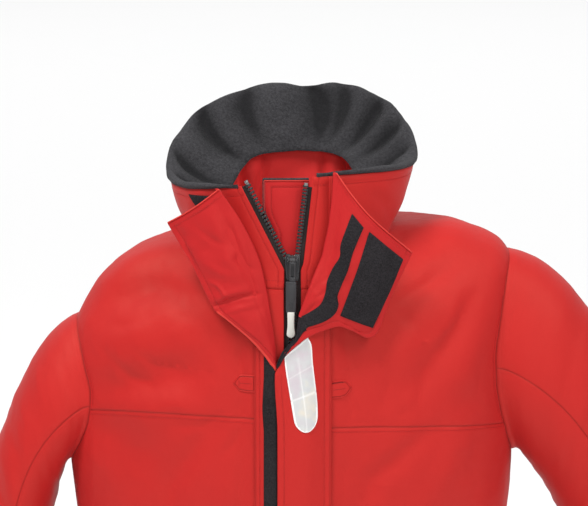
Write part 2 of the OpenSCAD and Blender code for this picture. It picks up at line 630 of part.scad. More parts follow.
pocket_x = [100, 184];
pocket_z = [-600, -430];
pocket_deep = 14;
pocket_rise = function(x, z) 0.6 + pocket_deep
    * ease(min(x - pocket_x[0], pocket_x[1] - x) / 14) * ease((z - pocket_z[0]) / 30);
module front_patch(side, xs, zs, a, b) {
    g = function(h) [for (z = zs) [for (x = xs) front_at(side * x, z, h(x, z))]];
    if (side > 0) sheet(g(a), g(b));
    else sheet(g(b), g(a));
}
module pocket(side) {
    xs = concat([pocket_x[0]], steps(pocket_x[0] + 5, pocket_x[1] - 5, 8), [pocket_x[1]]);
    zs = concat([pocket_z[0], pocket_z[0] + 10], steps(pocket_z[0] + 22, pocket_z[1], 5));
    color(red) front_patch(side, xs, zs, pocket_rise, function(x, z) pocket_rise(x, z) + 2);
}
module pocket_left() { pocket(1); }
module pocket_right() { pocket(-1); }

module pocket_loop(side) {
    color(black) front_patch(side, steps(122, 162, 3), [-462, -444],
        function(x, z) pocket_rise(x, z) + 2.1, function(x, z) pocket_rise(x, z) + 3.2);
}
module pocket_loop_left() { pocket_loop(1); }
module pocket_loop_right() { pocket_loop(-1); }

flap_rise = function(x, z) 6 + 14 * ease((-408 - z) / 20);
module pocket_flap(side) {
    color(red) front_patch(side, steps(96, 188, 8), [-470, -450, -432, -424, -416, -408],
        flap_rise, function(x, z) flap_rise(x, z) + 2.4);
}
module pocket_flap_left() { pocket_flap(1); }
module pocket_flap_right() { pocket_flap(-1); }

front_yoke_left();
front_yoke_right();
front_panel_left();
front_panel_right();
back_yoke();
back_panel();
hem_band();
body_lining_left();
body_lining_right();
body_lining_back();
top_sleeve_left();
under_sleeve_left();
top_sleeve_right();
under_sleeve_right();
sleeve_lining_left();
sleeve_lining_right();
cuff_left();
cuff_right();
cuff_loop_left();
cuff_loop_right();
cuff_strap_left();
cuff_strap_right();
collar_shell();
collar_fleece();
collar_facing();
stowed_hood();
hang_loop();
collar_loop_patch();
zip_tape_left();
zip_tape_right();
zip_teeth_left();
zip_teeth_right();
zip_top_stops();
zip_box();
zip_slider();
zip_pull();
zip_grip();
zip_guard();
storm_flap_root();
storm_flap_lower();
storm_flap_collar();
chin_hook_patch();
flap_hook_strip();
flap_hook_strip_lower();
reflective_patch();
reflective_patch_top();
inner_flap_lower();
inner_flap_collar();
front_loop_strip();
stitched_tab_left();
stitched_tab_right();
pocket_left();
pocket_right();
pocket_flap_left();
pocket_flap_right();
pocket_loop_left();
pocket_loop_right();
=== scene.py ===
import math

import bmesh
import bpy
import numpy as np
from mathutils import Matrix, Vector
from mathutils.bvhtree import BVHTree


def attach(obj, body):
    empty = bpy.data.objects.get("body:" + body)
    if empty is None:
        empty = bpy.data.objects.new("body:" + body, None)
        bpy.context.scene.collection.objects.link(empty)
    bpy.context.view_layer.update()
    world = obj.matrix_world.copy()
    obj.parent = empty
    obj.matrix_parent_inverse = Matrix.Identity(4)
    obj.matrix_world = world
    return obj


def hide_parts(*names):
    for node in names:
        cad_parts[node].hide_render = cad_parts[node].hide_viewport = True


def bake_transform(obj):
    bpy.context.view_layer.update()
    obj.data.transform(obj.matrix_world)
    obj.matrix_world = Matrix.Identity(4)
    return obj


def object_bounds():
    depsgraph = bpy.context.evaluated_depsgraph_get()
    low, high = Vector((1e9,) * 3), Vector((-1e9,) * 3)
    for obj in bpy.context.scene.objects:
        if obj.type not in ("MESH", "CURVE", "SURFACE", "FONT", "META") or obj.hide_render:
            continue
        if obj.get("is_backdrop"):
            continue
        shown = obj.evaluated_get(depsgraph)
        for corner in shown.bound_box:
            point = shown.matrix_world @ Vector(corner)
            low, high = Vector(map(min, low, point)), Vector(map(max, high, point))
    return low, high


# ------------------------------------------------------------------ frame and sizes
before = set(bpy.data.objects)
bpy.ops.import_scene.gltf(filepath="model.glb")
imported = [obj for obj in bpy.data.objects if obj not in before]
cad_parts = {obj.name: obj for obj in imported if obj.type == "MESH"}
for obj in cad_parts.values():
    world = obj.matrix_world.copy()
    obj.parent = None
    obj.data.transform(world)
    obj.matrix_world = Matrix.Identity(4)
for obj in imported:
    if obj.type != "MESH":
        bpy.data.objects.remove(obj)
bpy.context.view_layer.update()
MM = 0.001

CLOTH = 1.6          # shown thickness of the shell fabric, mm
LINING = 0.7         # thickness of the lining
LINING_IN = -6.0     # how far it hangs inside the shell
STITCH_IN = 4.6      # topstitching from a seam
HEM_IN = 22          # and from the hem
RIM_U = 0.985        # where the collar's shell ends, as a share of its height
CAMERA_FAR = 2.5     # metres from the camera to what it looks at
CAMERA_TILT = 12     # degrees from above
FLOOR_Z = -0.76
SLIDER_Z = -16.0
SPLIT_Z = SLIDER_Z - 2
ZIP_HALF = 9.5
SEAM_X = 40.0
THROAT_Z = -129.0
HEM_Z = -700.0
LEAN = 0.046
TILT = math.atan(LEAN)

# ------------------------------------------------------------------ small maths


def stack(parts, axis=-1):
    return np.stack(np.broadcast_arrays(*parts), axis)


def mix(a, b, t):
    return a + (b - a) * t


def ease(t):
    c = np.clip(t, 0.0, 1.0)
    return c * c * (3 - 2 * c)


def bump(x, centre, width):
    return np.exp(-((x - centre) / width) ** 2)


def unit(v):
    return v / np.maximum(np.linalg.norm(v, axis=-1, keepdims=True), 1e-9)


def through(points, t):
    """A smooth line through the rows of points, at t from 0 to len(points) - 1."""
    p = np.asarray(points, float)
    n = len(p) - 1
    t = np.asarray(t, float)
    i = np.clip(np.floor(t).astype(int), 0, n - 1)
    f = t - i
    b, c = p[i], p[i + 1]
    lo, hi = p[np.maximum(i - 1, 0)], p[np.minimum(i + 2, n)]
    if p.ndim > 1:
        f = f[..., None]
        first, last = (i == 0)[..., None], (i + 2 > n)[..., None]
    else:
        first, last = i == 0, i + 2 > n
    a = np.where(first, 2 * b - c, lo)
    d = np.where(last, 2 * c - b, hi)
    return (0.5 * (2 * b + (c - a) * f + (2 * a - 5 * b + 4 * c - d) * f ** 2
                   + (3 * b - a - 3 * c + d) * f ** 3))


def net(rows, u, v):
    """A smooth surface through a net of points, at u down the rows and v along them."""
    rows = np.asarray(rows, float)
    r, c, _ = rows.shape
    u, v = np.broadcast_arrays(np.asarray(u, float), np.asarray(v, float))
    lines = np.stack([through(rows[k], v) for k in range(r)])
    flat = lines.reshape(r, -1, 3)
    t = u.reshape(-1)
    n = r - 1
    i = np.clip(np.floor(t).astype(int), 0, n - 1)
    f = (t - i)[:, None]
    k = np.arange(t.size)
    b, c1 = flat[i, k], flat[i + 1, k]
    a = np.where((i == 0)[:, None], 2 * b - c1, flat[np.maximum(i - 1, 0), k])
    d = np.where((i + 2 > n)[:, None], 2 * c1 - b, flat[np.minimum(i + 2, n), k])
    out = (0.5 * (2 * b + (c1 - a) * f + (2 * a - 5 * b + 4 * c1 - d) * f ** 2
                  + (3 * b - a - 3 * c1 + d) * f ** 3))
    return out.reshape(u.shape + (3,))


TABLE = np.random.default_rng(7).uniform(-1, 1, 4096)


def noise(p, size, seed=0):
    """Smooth noise from -1 to 1 at points p (mm); size is the grain, one number or three."""
    q = np.asarray(p, float) / np.asarray(size, float) + 37.3 * seed
    i = np.floor(q).astype(np.int64)
    f = q - i
    w = f * f * (3 - 2 * f)
    total = np.zeros(q.shape[:-1])
    for dx in (0, 1):
        for dy in (0, 1):
            for dz in (0, 1):
                h = ((i[..., 0] + dx) * 73856093 ^ (i[..., 1] + dy) * 19349663 ^ (i[..., 2] + dz)
                     * 83492791 ^ seed * 2654435)
                k = ((w[..., 0] if dx else 1 - w[..., 0]) * (w[..., 1] if dy else 1 - w[..., 1])
                     * (w[..., 2] if dz else 1 - w[..., 2]))
                total += k * TABLE[(h ^ (h >> 13)) & 4095]
    return total


# ------------------------------------------------------------------ the body's shape, as in the CAD part
BODY = np.array([
    [106, 6, -40, 18, 74, 2.5], [146, -1, -66, 0, 92, 2.4], [192, -17, -95, -35, 108, 2.35],
    [236, -56, -130, -80, 118, 2.35], [246, -150, -180, -160, 126, 2.4], [246, -250, -255, -250, 128, 2.45],
    [236, -400, -400, -400, 120, 2.45], [242, -560, -560, -560, 122, 2.45],
    [252, -700, -700, -700, 128, 2.45]], float)
ARM_OPEN = 28.0


def front_line(z):
    return -118.0 - LEAN * (SLIDER_Z - z)


def skew(x, z):
    return np.sign(x) * 30.0 * (x / 214) ** 2 * ease((z + 300) / 230)


def body_at(a, s):
    a, s = np.broadcast_arrays(np.asarray(a, float), np.asarray(s, float))
    k = through(BODY, s)
    e = 2 / k[..., 5]
    sa, ca = np.sin(np.radians(a)), np.cos(np.radians(a))
    x = k[..., 0] * np.sign(sa) * np.abs(sa) ** e
    z = mix(k[..., 1], np.where(ca > 0, k[..., 2], k[..., 3]), np.abs(ca) ** 1.5)
    depth = np.where(ca > 0, -front_line(k[..., 2]), k[..., 4])
    y = -np.sign(ca) * depth * np.abs(ca) ** e
    return stack([x, y, z + skew(x, z)], -1)


def body_out(a, s):
    da = body_at(np.asarray(a) + 1.5, s) - body_at(np.asarray(a) - 1.5, s)
    ds = body_at(a, np.minimum(np.asarray(s) + 0.03, 8)) - body_at(a, np.maximum(np.asarray(s) - 0.03, 0))
    return unit(np.cross(ds, da))


def angle_at(x, s):
    k = through(BODY, s)
    return np.sign(x) * np.degrees(np.arcsin((np.abs(x) / k[..., 0]) ** (k[..., 5] / 2)))


def station(z):
    grid = np.linspace(0, 8, 4001)
    return np.interp(-np.asarray(z, float), -through(BODY, grid)[:, 2], grid)


def front_at(x, z, o=0.0):
    x = np.asarray(x, float)
    s = station(z)
    a = angle_at(np.where(np.abs(x) < 0.01, 0.01, x), s)
    return body_at(a, s) + np.asarray(o, float)[..., None] * body_out(a, s)


# sleeves
SLEEVE = {
    1: ([[350, -30], [462, -330], [516, -600]], [[282, -262], [350, -430], [424, -646]]),
    -1: ([[318, -118], [394, -400], [400, -690]], [[262, -262], [290, -420], [300, -702]]),
}
ARM_DEPTHS = np.array([66, 72, 70, 64, 57, 51, 46], float)


def bezier(start, pts, side, t):
    p = [start] + [np.array([side * q[0], 0.0, q[1]]) for q in pts]
    t = np.asarray(t, float)[..., None]
    r = 1 - t
    return r ** 3 * p[0] + 3 * r * r * t * p[1] + 3 * r * t * t * p[2] + t ** 3 * p[3]


def sleeve_ring(side, f, t):
    top = bezier(body_at(side * 90, 3), SLEEVE[side][0], side, t)
    low = bezier(body_at(side * 90, 5), SLEEVE[side][1], side, t)
    fr = np.radians(f)
    ring = (top + low) / 2 + (top - low) / 2 * np.cos(fr)[..., None]
    ring[..., 1] += (-np.sin(fr) * through(ARM_DEPTHS, 6 * np.asarray(t, float))
                     - 46 * np.asarray(t, float) ** 2)
    return ring


def sleeve_at(side, f, t):
    f, t = np.broadcast_arrays(np.asarray(f, float), np.asarray(t, float))
    start = body_at(side * (90 - ARM_OPEN * np.sin(np.radians(f))), 4 - np.cos(np.radians(f)))
    return (sleeve_ring(side, f, t)
            + (start - sleeve_ring(side, f, np.zeros_like(t))) * (1 - ease(t / 0.4))[..., None])


# collar
RIM = [
    [-55, -114, 71], [-88, -92, 64.5], [-118, -54, 59], [-133, -8, 61], [-128, 40, 84], [-88, 76, 120],
    [0, 92, 138],
    [88, 80, 128], [124, 45, 102], [133, 0, 80], [118, -48, 78], [78, -90, 81], [22, -113.5, 82]]
NECK_A = float(angle_at(np.array(ZIP_HALF), np.array(0.0)))


def neck_angle(c):
    return mix(360 - NECK_A, NECK_A, np.asarray(c, float))


def edge_x(side, z):
    left = ZIP_HALF + 2 * np.clip((z - SPLIT_Z) / 6, 0, 1) + 11 * np.clip((z - SPLIT_Z) / 95, 0, 1)
    right = -ZIP_HALF - (55 - ZIP_HALF) * np.maximum(z - SPLIT_Z, 0) / (71 - SPLIT_Z)
    return np.where(z < SPLIT_Z, side * ZIP_HALF, left if side > 0 else right)


def collar_plain(c, u):
    c, u = np.broadcast_arrays(np.asarray(c, float), np.asarray(u, float))
    base = body_at(neck_angle(c), np.zeros_like(c)) + [0, 0, 0.5]
    top = through(RIM, 12 * c)
    out = unit(stack([base[..., 0], base[..., 1] * 0.9, 0 * c], -1))
    near = 1 - ease(np.minimum(c, 1 - c) * 7)
    return mix(base, top, u[..., None]) + out * (5 * np.sin(np.pi * u) * (1 - near))[..., None]


def collar_at(c, u):
    c, u = np.broadcast_arrays(np.asarray(c, float), np.asarray(u, float))
    p = collar_plain(c, u)
    near = 1 - ease(np.minimum(c, 1 - c) * 7)
    ends = np.where((c < 0.5)[..., None], collar_plain(np.zeros_like(c), u), collar_plain(np.ones_like(c), u))
    want = np.where(c < 0.5, edge_x(-1, p[..., 2]), edge_x(1, p[..., 2]))
    p[..., 0] = mix(p[..., 0], want + p[..., 0] - ends[..., 0], near)
    return p


def collar_out(c, u):
    dc = collar_at(np.minimum(np.asarray(c) + 0.01, 1), u) - collar_at(np.maximum(np.asarray(c) - 0.01, 0), u)
    du = collar_at(c, np.minimum(np.asarray(u) + 0.02, 1)) - collar_at(c, np.maximum(np.asarray(u) - 0.02, 0))
    return unit(np.cross(du, dc))


# ------------------------------------------------------------------ meshes
def around(at):
    """A grid of point numbers with its first column again at the end, so that it closes on itself."""
    return np.concatenate([at, at[:, :1]], 1)


def quads(at):
    """The faces of a grid of point numbers."""
    return stack([at[:-1, :-1], at[1:, :-1], at[1:, 1:], at[:-1, 1:]], -1).reshape(-1, 4)


def run_length(line):
    """How far along a line each of its points is, mm."""
    return np.concatenate([[0], np.cumsum(np.linalg.norm(np.diff(line, axis=0), axis=-1))])


def grid_out(g, ref, wrap=False):
    """Unit normals of a grid of points, on the side away from ref (a point, or a point for each)."""
    if wrap:
        h = np.concatenate([g[:, -1:], g, g[:, :1]], 1)
        dv = (h[:, 2:] - h[:, :-2])
    else:
        dv = np.gradient(g, axis=1)
    du = np.gradient(g, axis=0)
    n = unit(np.cross(du, dv))
    if np.sum(n * (g - ref)) < 0:
        n = -n
    return n


def tri_volume(v, faces):
    total = 0.0
    for f in faces:
        a = v[f[:, 0]]
        for k in range(1, f.shape[1] - 1):
            total += float(np.sum(a * np.cross(v[f[:, k]], v[f[:, k + 1]])))
    return total


def new_mesh(name, verts, faces, material, sharp=50, attrs=None):
    """verts in mm; faces a list of (n, k) index arrays."""
    verts = np.asarray(verts, float)
    faces = [np.asarray(f, int) for f in faces if len(f)]
    if tri_volume(verts - verts.mean(0), faces) < 0:
        faces = [f[:, ::-1] for f in faces]
    mesh = bpy.data.meshes.new(name)
    loops = np.concatenate([f.reshape(-1) for f in faces])
    sizes = np.concatenate([np.full(len(f), f.shape[1]) for f in faces])
    starts = np.concatenate([[0], np.cumsum(sizes)[:-1]])
    mesh.vertices.add(len(verts))
    mesh.loops.add(len(loops))
    mesh.polygons.add(len(sizes))
    mesh.vertices.foreach_set("co", (verts * MM).astype(np.float32).reshape(-1))
    mesh.loops.foreach_set("vertex_index", loops.astype(np.int32))
    mesh.polygons.foreach_set("loop_start", starts.astype(np.int32))
    mesh.polygons.foreach_set("loop_total", sizes.astype(np.int32))
    for key, values in (attrs or {}).items():
        values = np.asarray(values, np.float32)
        kind = "FLOAT_VECTOR" if values.ndim == 2 else "FLOAT"
        layer = mesh.attributes.new(key, kind, "POINT")
        layer.data.foreach_set("vector" if kind == "FLOAT_VECTOR" else "value", values.reshape(-1))
    mesh.update(calc_edges=True)
    mesh.validate()
    mesh.shade_smooth()
    if sharp:
        mesh.set_sharp_from_angle(angle=math.radians(sharp))
    mesh.materials.append(material)
    obj = bpy.data.objects.new(name, mesh)
    bpy.context.scene.collection.objects.link(obj)
    return obj


def arc_uv(g):
    """Distances along the rows and columns of a grid, in metres, for the weave."""
    du = np.linalg.norm(np.diff(g, axis=0), axis=-1)
    dv = np.linalg.norm(np.diff(g, axis=1), axis=-1)
    u = np.concatenate([np.zeros((1, g.shape[1])), np.cumsum(du, 0)], 0)
    v = np.concatenate([np.zeros((g.shape[0], 1)), np.cumsum(dv, 1)], 1)
    u = np.broadcast_to(u.mean(1, keepdims=True), g.shape[:2])
    return stack([v, u, np.zeros_like(u)], -1) * MM


def slab(name, outer, inner, material, wrap=False, round_edge=0.35, mark=None, sharp=55):
    """A closed solid between two grids. The edge between them is rounded by round_edge of its thickness."""
    r, c, _ = outer.shape
    n = r * c
    at = np.arange(n).reshape(r, c)
    if wrap:
        at = around(at)
    faces = [quads(at), quads(at + n)[:, ::-1]]
    flat_o, flat_i = outer.reshape(-1, 3), inner.reshape(-1, 3)
    verts = [flat_o, flat_i]
    if wrap:
        loops = [at[0], at[-1][::-1]]
    else:
        ring = np.concatenate([at[0, :-1], at[:-1, -1], at[-1, :0:-1], at[:0:-1, 0]])
        loops = [np.concatenate([ring, ring[:1]])]
    extra = 2 * n
    uv = arc_uv(outer).reshape(-1, 3)
    # mark: how much shade is painted at each point, in seam grooves, along edges and in creases; on the
    # reflective film it marks pale weld lines instead
    marks = np.zeros(n) if mark is None else np.asarray(mark, float).reshape(-1)
    uvs, ms = [uv, uv], [marks, marks]
    for loop in loops:
        k = loop[:-1]
        mid = (flat_o[k] + flat_i[k]) / 2
        across = flat_o[k] - flat_i[k]
        along = np.roll(flat_o[k], -1, 0) - np.roll(flat_o[k], 1, 0)
        push = unit(np.cross(along, across))
        # outwards is away from the neighbours inside the sheet
        rr, cc = np.divmod(k, c)
        r2 = np.where(rr == 0, 1, np.where(rr == r - 1, r - 2, rr))
        c2 = cc if wrap else np.where(cc == 0, 1, np.where(cc == c - 1, c - 2, cc))
        inside = mid - (flat_o[r2 * c + c2] + flat_i[r2 * c + c2]) / 2
        sign = np.sign(np.sum(push * inside, -1, keepdims=True))
        sign[sign == 0] = 1
        mid = mid + push * sign * np.linalg.norm(across, axis=-1, keepdims=True) * round_edge
        idx = extra + np.arange(len(k))
        extra += len(k)
        verts.append(mid)
        uvs.append(uv[k])
        ms.append(marks[k])
        a, b = loop[:-1], loop[1:]
        m = np.concatenate([idx, idx[:1]])
        faces.append(stack([a, m[:-1], m[1:], b], -1)[:, ::-1])
        faces.append(stack([m[:-1], a + n, b + n, m[1:]], -1)[:, ::-1])
    obj = new_mesh(name, np.concatenate(verts), faces, material, sharp,
                   {"cloth": np.concatenate(uvs), "seam": np.concatenate(ms)})
    agree(obj)
    return obj


def agree(obj):
    """Makes the winding of every face agree."""
    bm = bmesh.new()
    bm.from_mesh(obj.data)
    bmesh.ops.recalc_face_normals(bm, faces=bm.faces)
    bm.to_mesh(obj.data)
    bm.free()
    obj.data.update()


def tube(name, line, r, material, sides=8):
    """A round cord or piping along a line (mm)."""
    line = np.asarray(line, float)
    n = len(line)
    d = unit(np.gradient(line, axis=0))
    a = unit(np.cross(d, np.array([0.13, 0.31, 0.94])))      # what the ring is turned from
    b = np.cross(d, a)
    ang = np.arange(sides) * 2 * np.pi / sides
    r = np.broadcast_to(np.asarray(r, float), (n,))
    ring = (line[:, None] + r[:, None, None]
            * (a[:, None] * np.cos(ang)[None, :, None] + b[:, None] * np.sin(ang)[None, :, None]))
    verts = ring.reshape(-1, 3)
    at = np.arange(n * sides).reshape(n, sides)
    at = around(at)
    verts = np.concatenate([verts, line[:1], line[-1:]])
    faces = [quads(at), stack([at[0, 1:], at[0, :-1], np.full(sides, n * sides)], -1),
             stack([at[-1, :-1], at[-1, 1:], np.full(sides, n * sides + 1)], -1)]
    uv = np.zeros((len(verts), 3))
    uv[: n * sides, 1] = np.repeat(run_length(line), sides) * MM
    uv[: n * sides, 0] = np.tile(ang, n) * float(r.mean()) * MM
    obj = new_mesh(name, verts, faces, material, 0, {"cloth": uv, "seam": np.zeros(len(verts))})
    agree(obj)
    return obj


def along(line, pitch):
    """Points and directions every pitch along a line."""
    line = np.asarray(line, float)
    d = run_length(line)
    count = max(int(d[-1] / pitch), 1)
    t = (np.arange(count) + 0.5) * d[-1] / count
    p = stack([np.interp(t, d, line[:, k]) for k in range(3)], -1)
    q = stack([np.interp(t + 0.2, d, line[:, k]) for k in range(3)], -1)
    q0 = stack([np.interp(t - 0.2, d, line[:, k]) for k in range(3)], -1)
    return p, unit(q - q0), t / max(d[-1], 1e-9)


def stamp(name, template, faces, places, material, sharp=40):
    """Copies of a small mesh. places is a list of (origin, x axis, y axis, z axis) arrays."""
    origin, ex, ey, ez = places
    v = (origin[:, None] + template[None, :, :1] * ex[:, None] + template[None, :, 1:2] * ey[:, None]
         + template[None, :, 2:] * ez[:, None])
    n = len(template)
    shift = (np.arange(len(origin)) * n)[:, None, None]
    out = [(f[None] + shift).reshape(-1, f.shape[1]) for f in faces]
    verts = v.reshape(-1, 3)
    obj = new_mesh(name, verts, out, material, sharp,
                   {"cloth": verts * MM, "seam": np.zeros(len(verts))})
    agree(obj)
    return obj


def capsule(length, r, sides=6):
    """A short round thread along x."""
    xs = [-length / 2, -length / 2 + r * 0.5, length / 2 - r * 0.5, length / 2]
    rs = [r * 0.35, r, r, r * 0.35]
    ang = np.arange(sides) * 2 * np.pi / sides
    v = np.array([[x, q * math.cos(a), q * math.sin(a)] for x, q in zip(xs, rs) for a in ang])
    at = np.arange(4 * sides).reshape(4, sides)
    return v, [quads(around(at)), at[0][::-1][None], at[3][None]]


def stitches(name, lines, material, pitch=3.2, length=2.2, r=0.24):
    """Thread along lines: each is (points, outward directions)."""
    o, ex, ez = [], [], []
    for pts, out in lines:
        p, d, t = along(pts, pitch)
        src = np.linspace(0, 1, len(out))
        n = unit(stack([np.interp(t, src, np.asarray(out)[:, k]) for k in range(3)], -1))
        o.append(p + n * 0.05)
        ex.append(d)
        ez.append(n)
    o, ex, ez = (np.concatenate(x) for x in (o, ex, ez))
    v, f = capsule(length, r)
    v[:, 2] *= 0.8
    return stamp(name, v, f, (o, ex, unit(np.cross(ez, ex)), ez), material, 0)


# ------------------------------------------------------------------ materials
def principled(name, color, rough, **more):
    m = bpy.data.materials.new(name)
    m.use_nodes = True
    t = m.node_tree
    b = t.nodes["Principled BSDF"]
    b.inputs["Base Color"].default_value = (*color, 1)
    b.inputs["Roughness"].default_value = rough
    for k, v in more.items():
        b.inputs[k.replace("_", " ")].default_value = v
    return m, t, b


def node(t, kind, inputs=(), **settings):
    n = t.nodes.new(kind)
    for k, v in settings.items():
        setattr(n, k, v)
    for k, v in dict(inputs).items():
        if isinstance(v, bpy.types.NodeSocket):
            t.links.new(v, n.inputs[k])
        else:
            n.inputs[k].default_value = v
    return n


def maths(t, op, a, b=0.5, clamp=False):
    n = t.nodes.new("ShaderNodeMath")
    n.operation = op
    n.use_clamp = clamp
    for i, v in enumerate((a, b)):
        if isinstance(v, bpy.types.NodeSocket):
            t.links.new(v, n.inputs[i])
        else:
            n.inputs[i].default_value = v
    return n.outputs[0]


def weave(t, scale, kind="plain"):
    """Height from 0 to 1 of a woven surface, in the piece's own cloth coordinates."""
    at = node(t, "ShaderNodeAttribute", attribute_name="cloth")
    sep = node(t, "ShaderNodeSeparateXYZ", {0: at.outputs["Vector"]})
    u = maths(t, "MULTIPLY", sep.outputs[0], scale)
    v = maths(t, "MULTIPLY", sep.outputs[1], scale)
    if kind == "twill":
        both = maths(t, "ADD", u, v)
        return maths(t, "MULTIPLY", maths(t, "ADD", maths(t, "SINE", both), 1.0), 0.5)
    su = maths(t, "SINE", u)
    sv = maths(t, "SINE", v)
    return maths(t, "MULTIPLY", maths(t, "ADD", maths(t, "MULTIPLY", su, sv), 1.0), 0.5)


def tint(t, color, factor, amount_low, amount_high):
    """color made darker and lighter by factor, 0 to 1."""
    low = tuple(c * amount_low for c in color) + (1,)
    high = tuple(min(c * amount_high, 1) for c in color) + (1,)
    ramp = node(t, "ShaderNodeValToRGB", {"Fac": factor})
    ramp.color_ramp.elements[0].color = low
    ramp.color_ramp.elements[1].color = high
    return ramp.outputs["Color"]


def fabric(name, color, rough=0.6, grain=5200, depth=0.00012, low=0.93, high=1.05, kind="plain"):
    """Coated woven cloth: weave relief, slow changes of tone, fine specks, and painted shade that darkens
    marked seams, grooves and edges.
    """
    m, t, b = principled(name, color, rough, Sheen_Weight=0.03, Sheen_Roughness=0.45, Specular_IOR_Level=0.30)
    b.inputs["Specular Tint"].default_value = (1.0, 0.80, 0.60, 1)
    height = weave(t, grain, kind)
    pos = node(t, "ShaderNodeTexCoord").outputs["Object"]
    slow = node(t, "ShaderNodeTexNoise", {"Vector": pos, "Scale": 9.0, "Detail": 3.0, "Roughness": 0.55})
    fine = node(t, "ShaderNodeTexNoise", {"Vector": pos, "Scale": 540.0, "Detail": 2.0, "Roughness": 0.7})
    shade = maths(t, "ADD", maths(t, "MULTIPLY", slow.outputs["Fac"], 0.75),
                  maths(t, "MULTIPLY", fine.outputs["Fac"], 0.25))
    shade = maths(t, "ADD", maths(t, "MULTIPLY", maths(t, "SUBTRACT", shade, 0.5), 1.8), 0.5, True)
    base = tint(t, color, shade, low, high)
    # painted shade: the mark darkens the colour towards a third of it in seam grooves, along folded edges and
    # under overlaps
    seam = node(t, "ShaderNodeAttribute", attribute_name="seam")
    dark = node(t, "ShaderNodeMix", {0: maths(t, "MULTIPLY", seam.outputs["Fac"], 0.55, True)},
                data_type="RGBA")
    dark.inputs[7].default_value = tuple(c * 0.35 for c in color) + (1,)
    t.links.new(base, dark.inputs[6])
    t.links.new(dark.outputs[2], b.inputs["Base Color"])
    r = maths(t, "ADD", maths(t, "MULTIPLY", slow.outputs["Fac"], 0.16), rough - 0.08)
    t.links.new(r, b.inputs["Roughness"])
    ripple = node(t, "ShaderNodeTexNoise", {"Vector": pos, "Scale": 38.0, "Detail": 4.0, "Roughness": 0.6})
    h = maths(t, "ADD", maths(t, "MULTIPLY", height, 0.22), maths(t, "MULTIPLY", ripple.outputs["Fac"], 5.5))
    bp = node(t, "ShaderNodeBump", {"Strength": 1.0, "Distance": depth, "Height": h})
    t.links.new(bp.outputs[0], b.inputs["Normal"])
    return m


def pile(name, color, scale=900, depth=0.0006, sheen=0.5, rough=0.95, hook=False, grit=2.4):
    """Fleece, loop or hook tape: a deep matt nap, with painted shade where the mesh marks hollows."""
    m, t, b = principled(name, color, rough, Sheen_Weight=sheen, Sheen_Roughness=0.35,
                         Specular_IOR_Level=0.15)
    pos = node(t, "ShaderNodeTexCoord").outputs["Object"]
    soft = node(t, "ShaderNodeTexNoise",
                {"Vector": pos, "Scale": scale * 0.35, "Detail": 5.0, "Roughness": 0.75})
    slow = node(t, "ShaderNodeTexNoise", {"Vector": pos, "Scale": 14.0, "Detail": 2.0})
    k = maths(t, "ADD", maths(t, "MULTIPLY", soft.outputs["Fac"], 0.75),
              maths(t, "MULTIPLY", slow.outputs["Fac"], 0.25))
    k = maths(t, "ADD", maths(t, "MULTIPLY", maths(t, "SUBTRACT", k, 0.5), grit), 0.5, True)
    # painted shade: marked hollows and creases are darkened towards a quarter of the colour
    hollow_shade = node(t, "ShaderNodeAttribute", attribute_name="seam")
    dark = node(t, "ShaderNodeMix", {0: maths(t, "MULTIPLY", hollow_shade.outputs["Fac"], 0.8, True)},
                data_type="RGBA")
    dark.inputs[7].default_value = tuple(c * 0.25 for c in color) + (1,)
    t.links.new(tint(t, color, k, 0.55, 1.6), dark.inputs[6])
    t.links.new(dark.outputs[2], b.inputs["Base Color"])
    if hook:
        height = weave(t, 3600)
        h = maths(t, "ADD", maths(t, "MULTIPLY", height, 0.6), maths(t, "MULTIPLY", soft.outputs["Fac"], 0.6))
    else:
        clumps = node(t, "ShaderNodeTexVoronoi", {"Vector": pos, "Scale": float(scale)}, feature="F1")
        h = maths(t, "ADD", maths(t, "MULTIPLY", clumps.outputs["Distance"], 0.8), soft.outputs["Fac"])
    bp = node(t, "ShaderNodeBump", {"Strength": 0.9, "Distance": depth, "Height": h})
    t.links.new(bp.outputs[0], b.inputs["Normal"])
    return m


def moulded(name, color, rough=0.45, grain=2200.0, metal=0.0, depth=0.00005, low=0.8, high=1.25, spec=0.5,
            wear=None):
    """Moulded plastic, rubber or painted metal, with fine grain and slightly worn edges."""
    m, t, b = principled(name, color, rough, Metallic=metal)
    b.inputs["Specular IOR Level"].default_value = spec
    pos = node(t, "ShaderNodeTexCoord").outputs["Object"]
    fine = node(t, "ShaderNodeTexNoise", {"Vector": pos, "Scale": grain, "Detail": 3.0})
    slow = node(t, "ShaderNodeTexNoise", {"Vector": pos, "Scale": 120.0, "Detail": 4.0, "Roughness": 0.6})
    base = tint(t, color, slow.outputs["Fac"], low, high)
    if wear:
        edge = node(t, "ShaderNodeNewGeometry").outputs["Pointiness"]
        worn = maths(t, "MULTIPLY", maths(t, "SUBTRACT", edge, 0.53), 9.0, True)
        w = node(t, "ShaderNodeMix", {0: worn}, data_type="RGBA")
        t.links.new(base, w.inputs[6])
        w.inputs[7].default_value = (*wear, 1)
        base = w.outputs[2]
    t.links.new(base, b.inputs["Base Color"])
    r = maths(t, "ADD", maths(t, "MULTIPLY", slow.outputs["Fac"], 0.2), rough - 0.1)
    t.links.new(r, b.inputs["Roughness"])
    bp = node(t, "ShaderNodeBump", {"Strength": 0.6, "Distance": depth, "Height": fine.outputs["Fac"]})
    t.links.new(bp.outputs[0], b.inputs["Normal"])
    return m


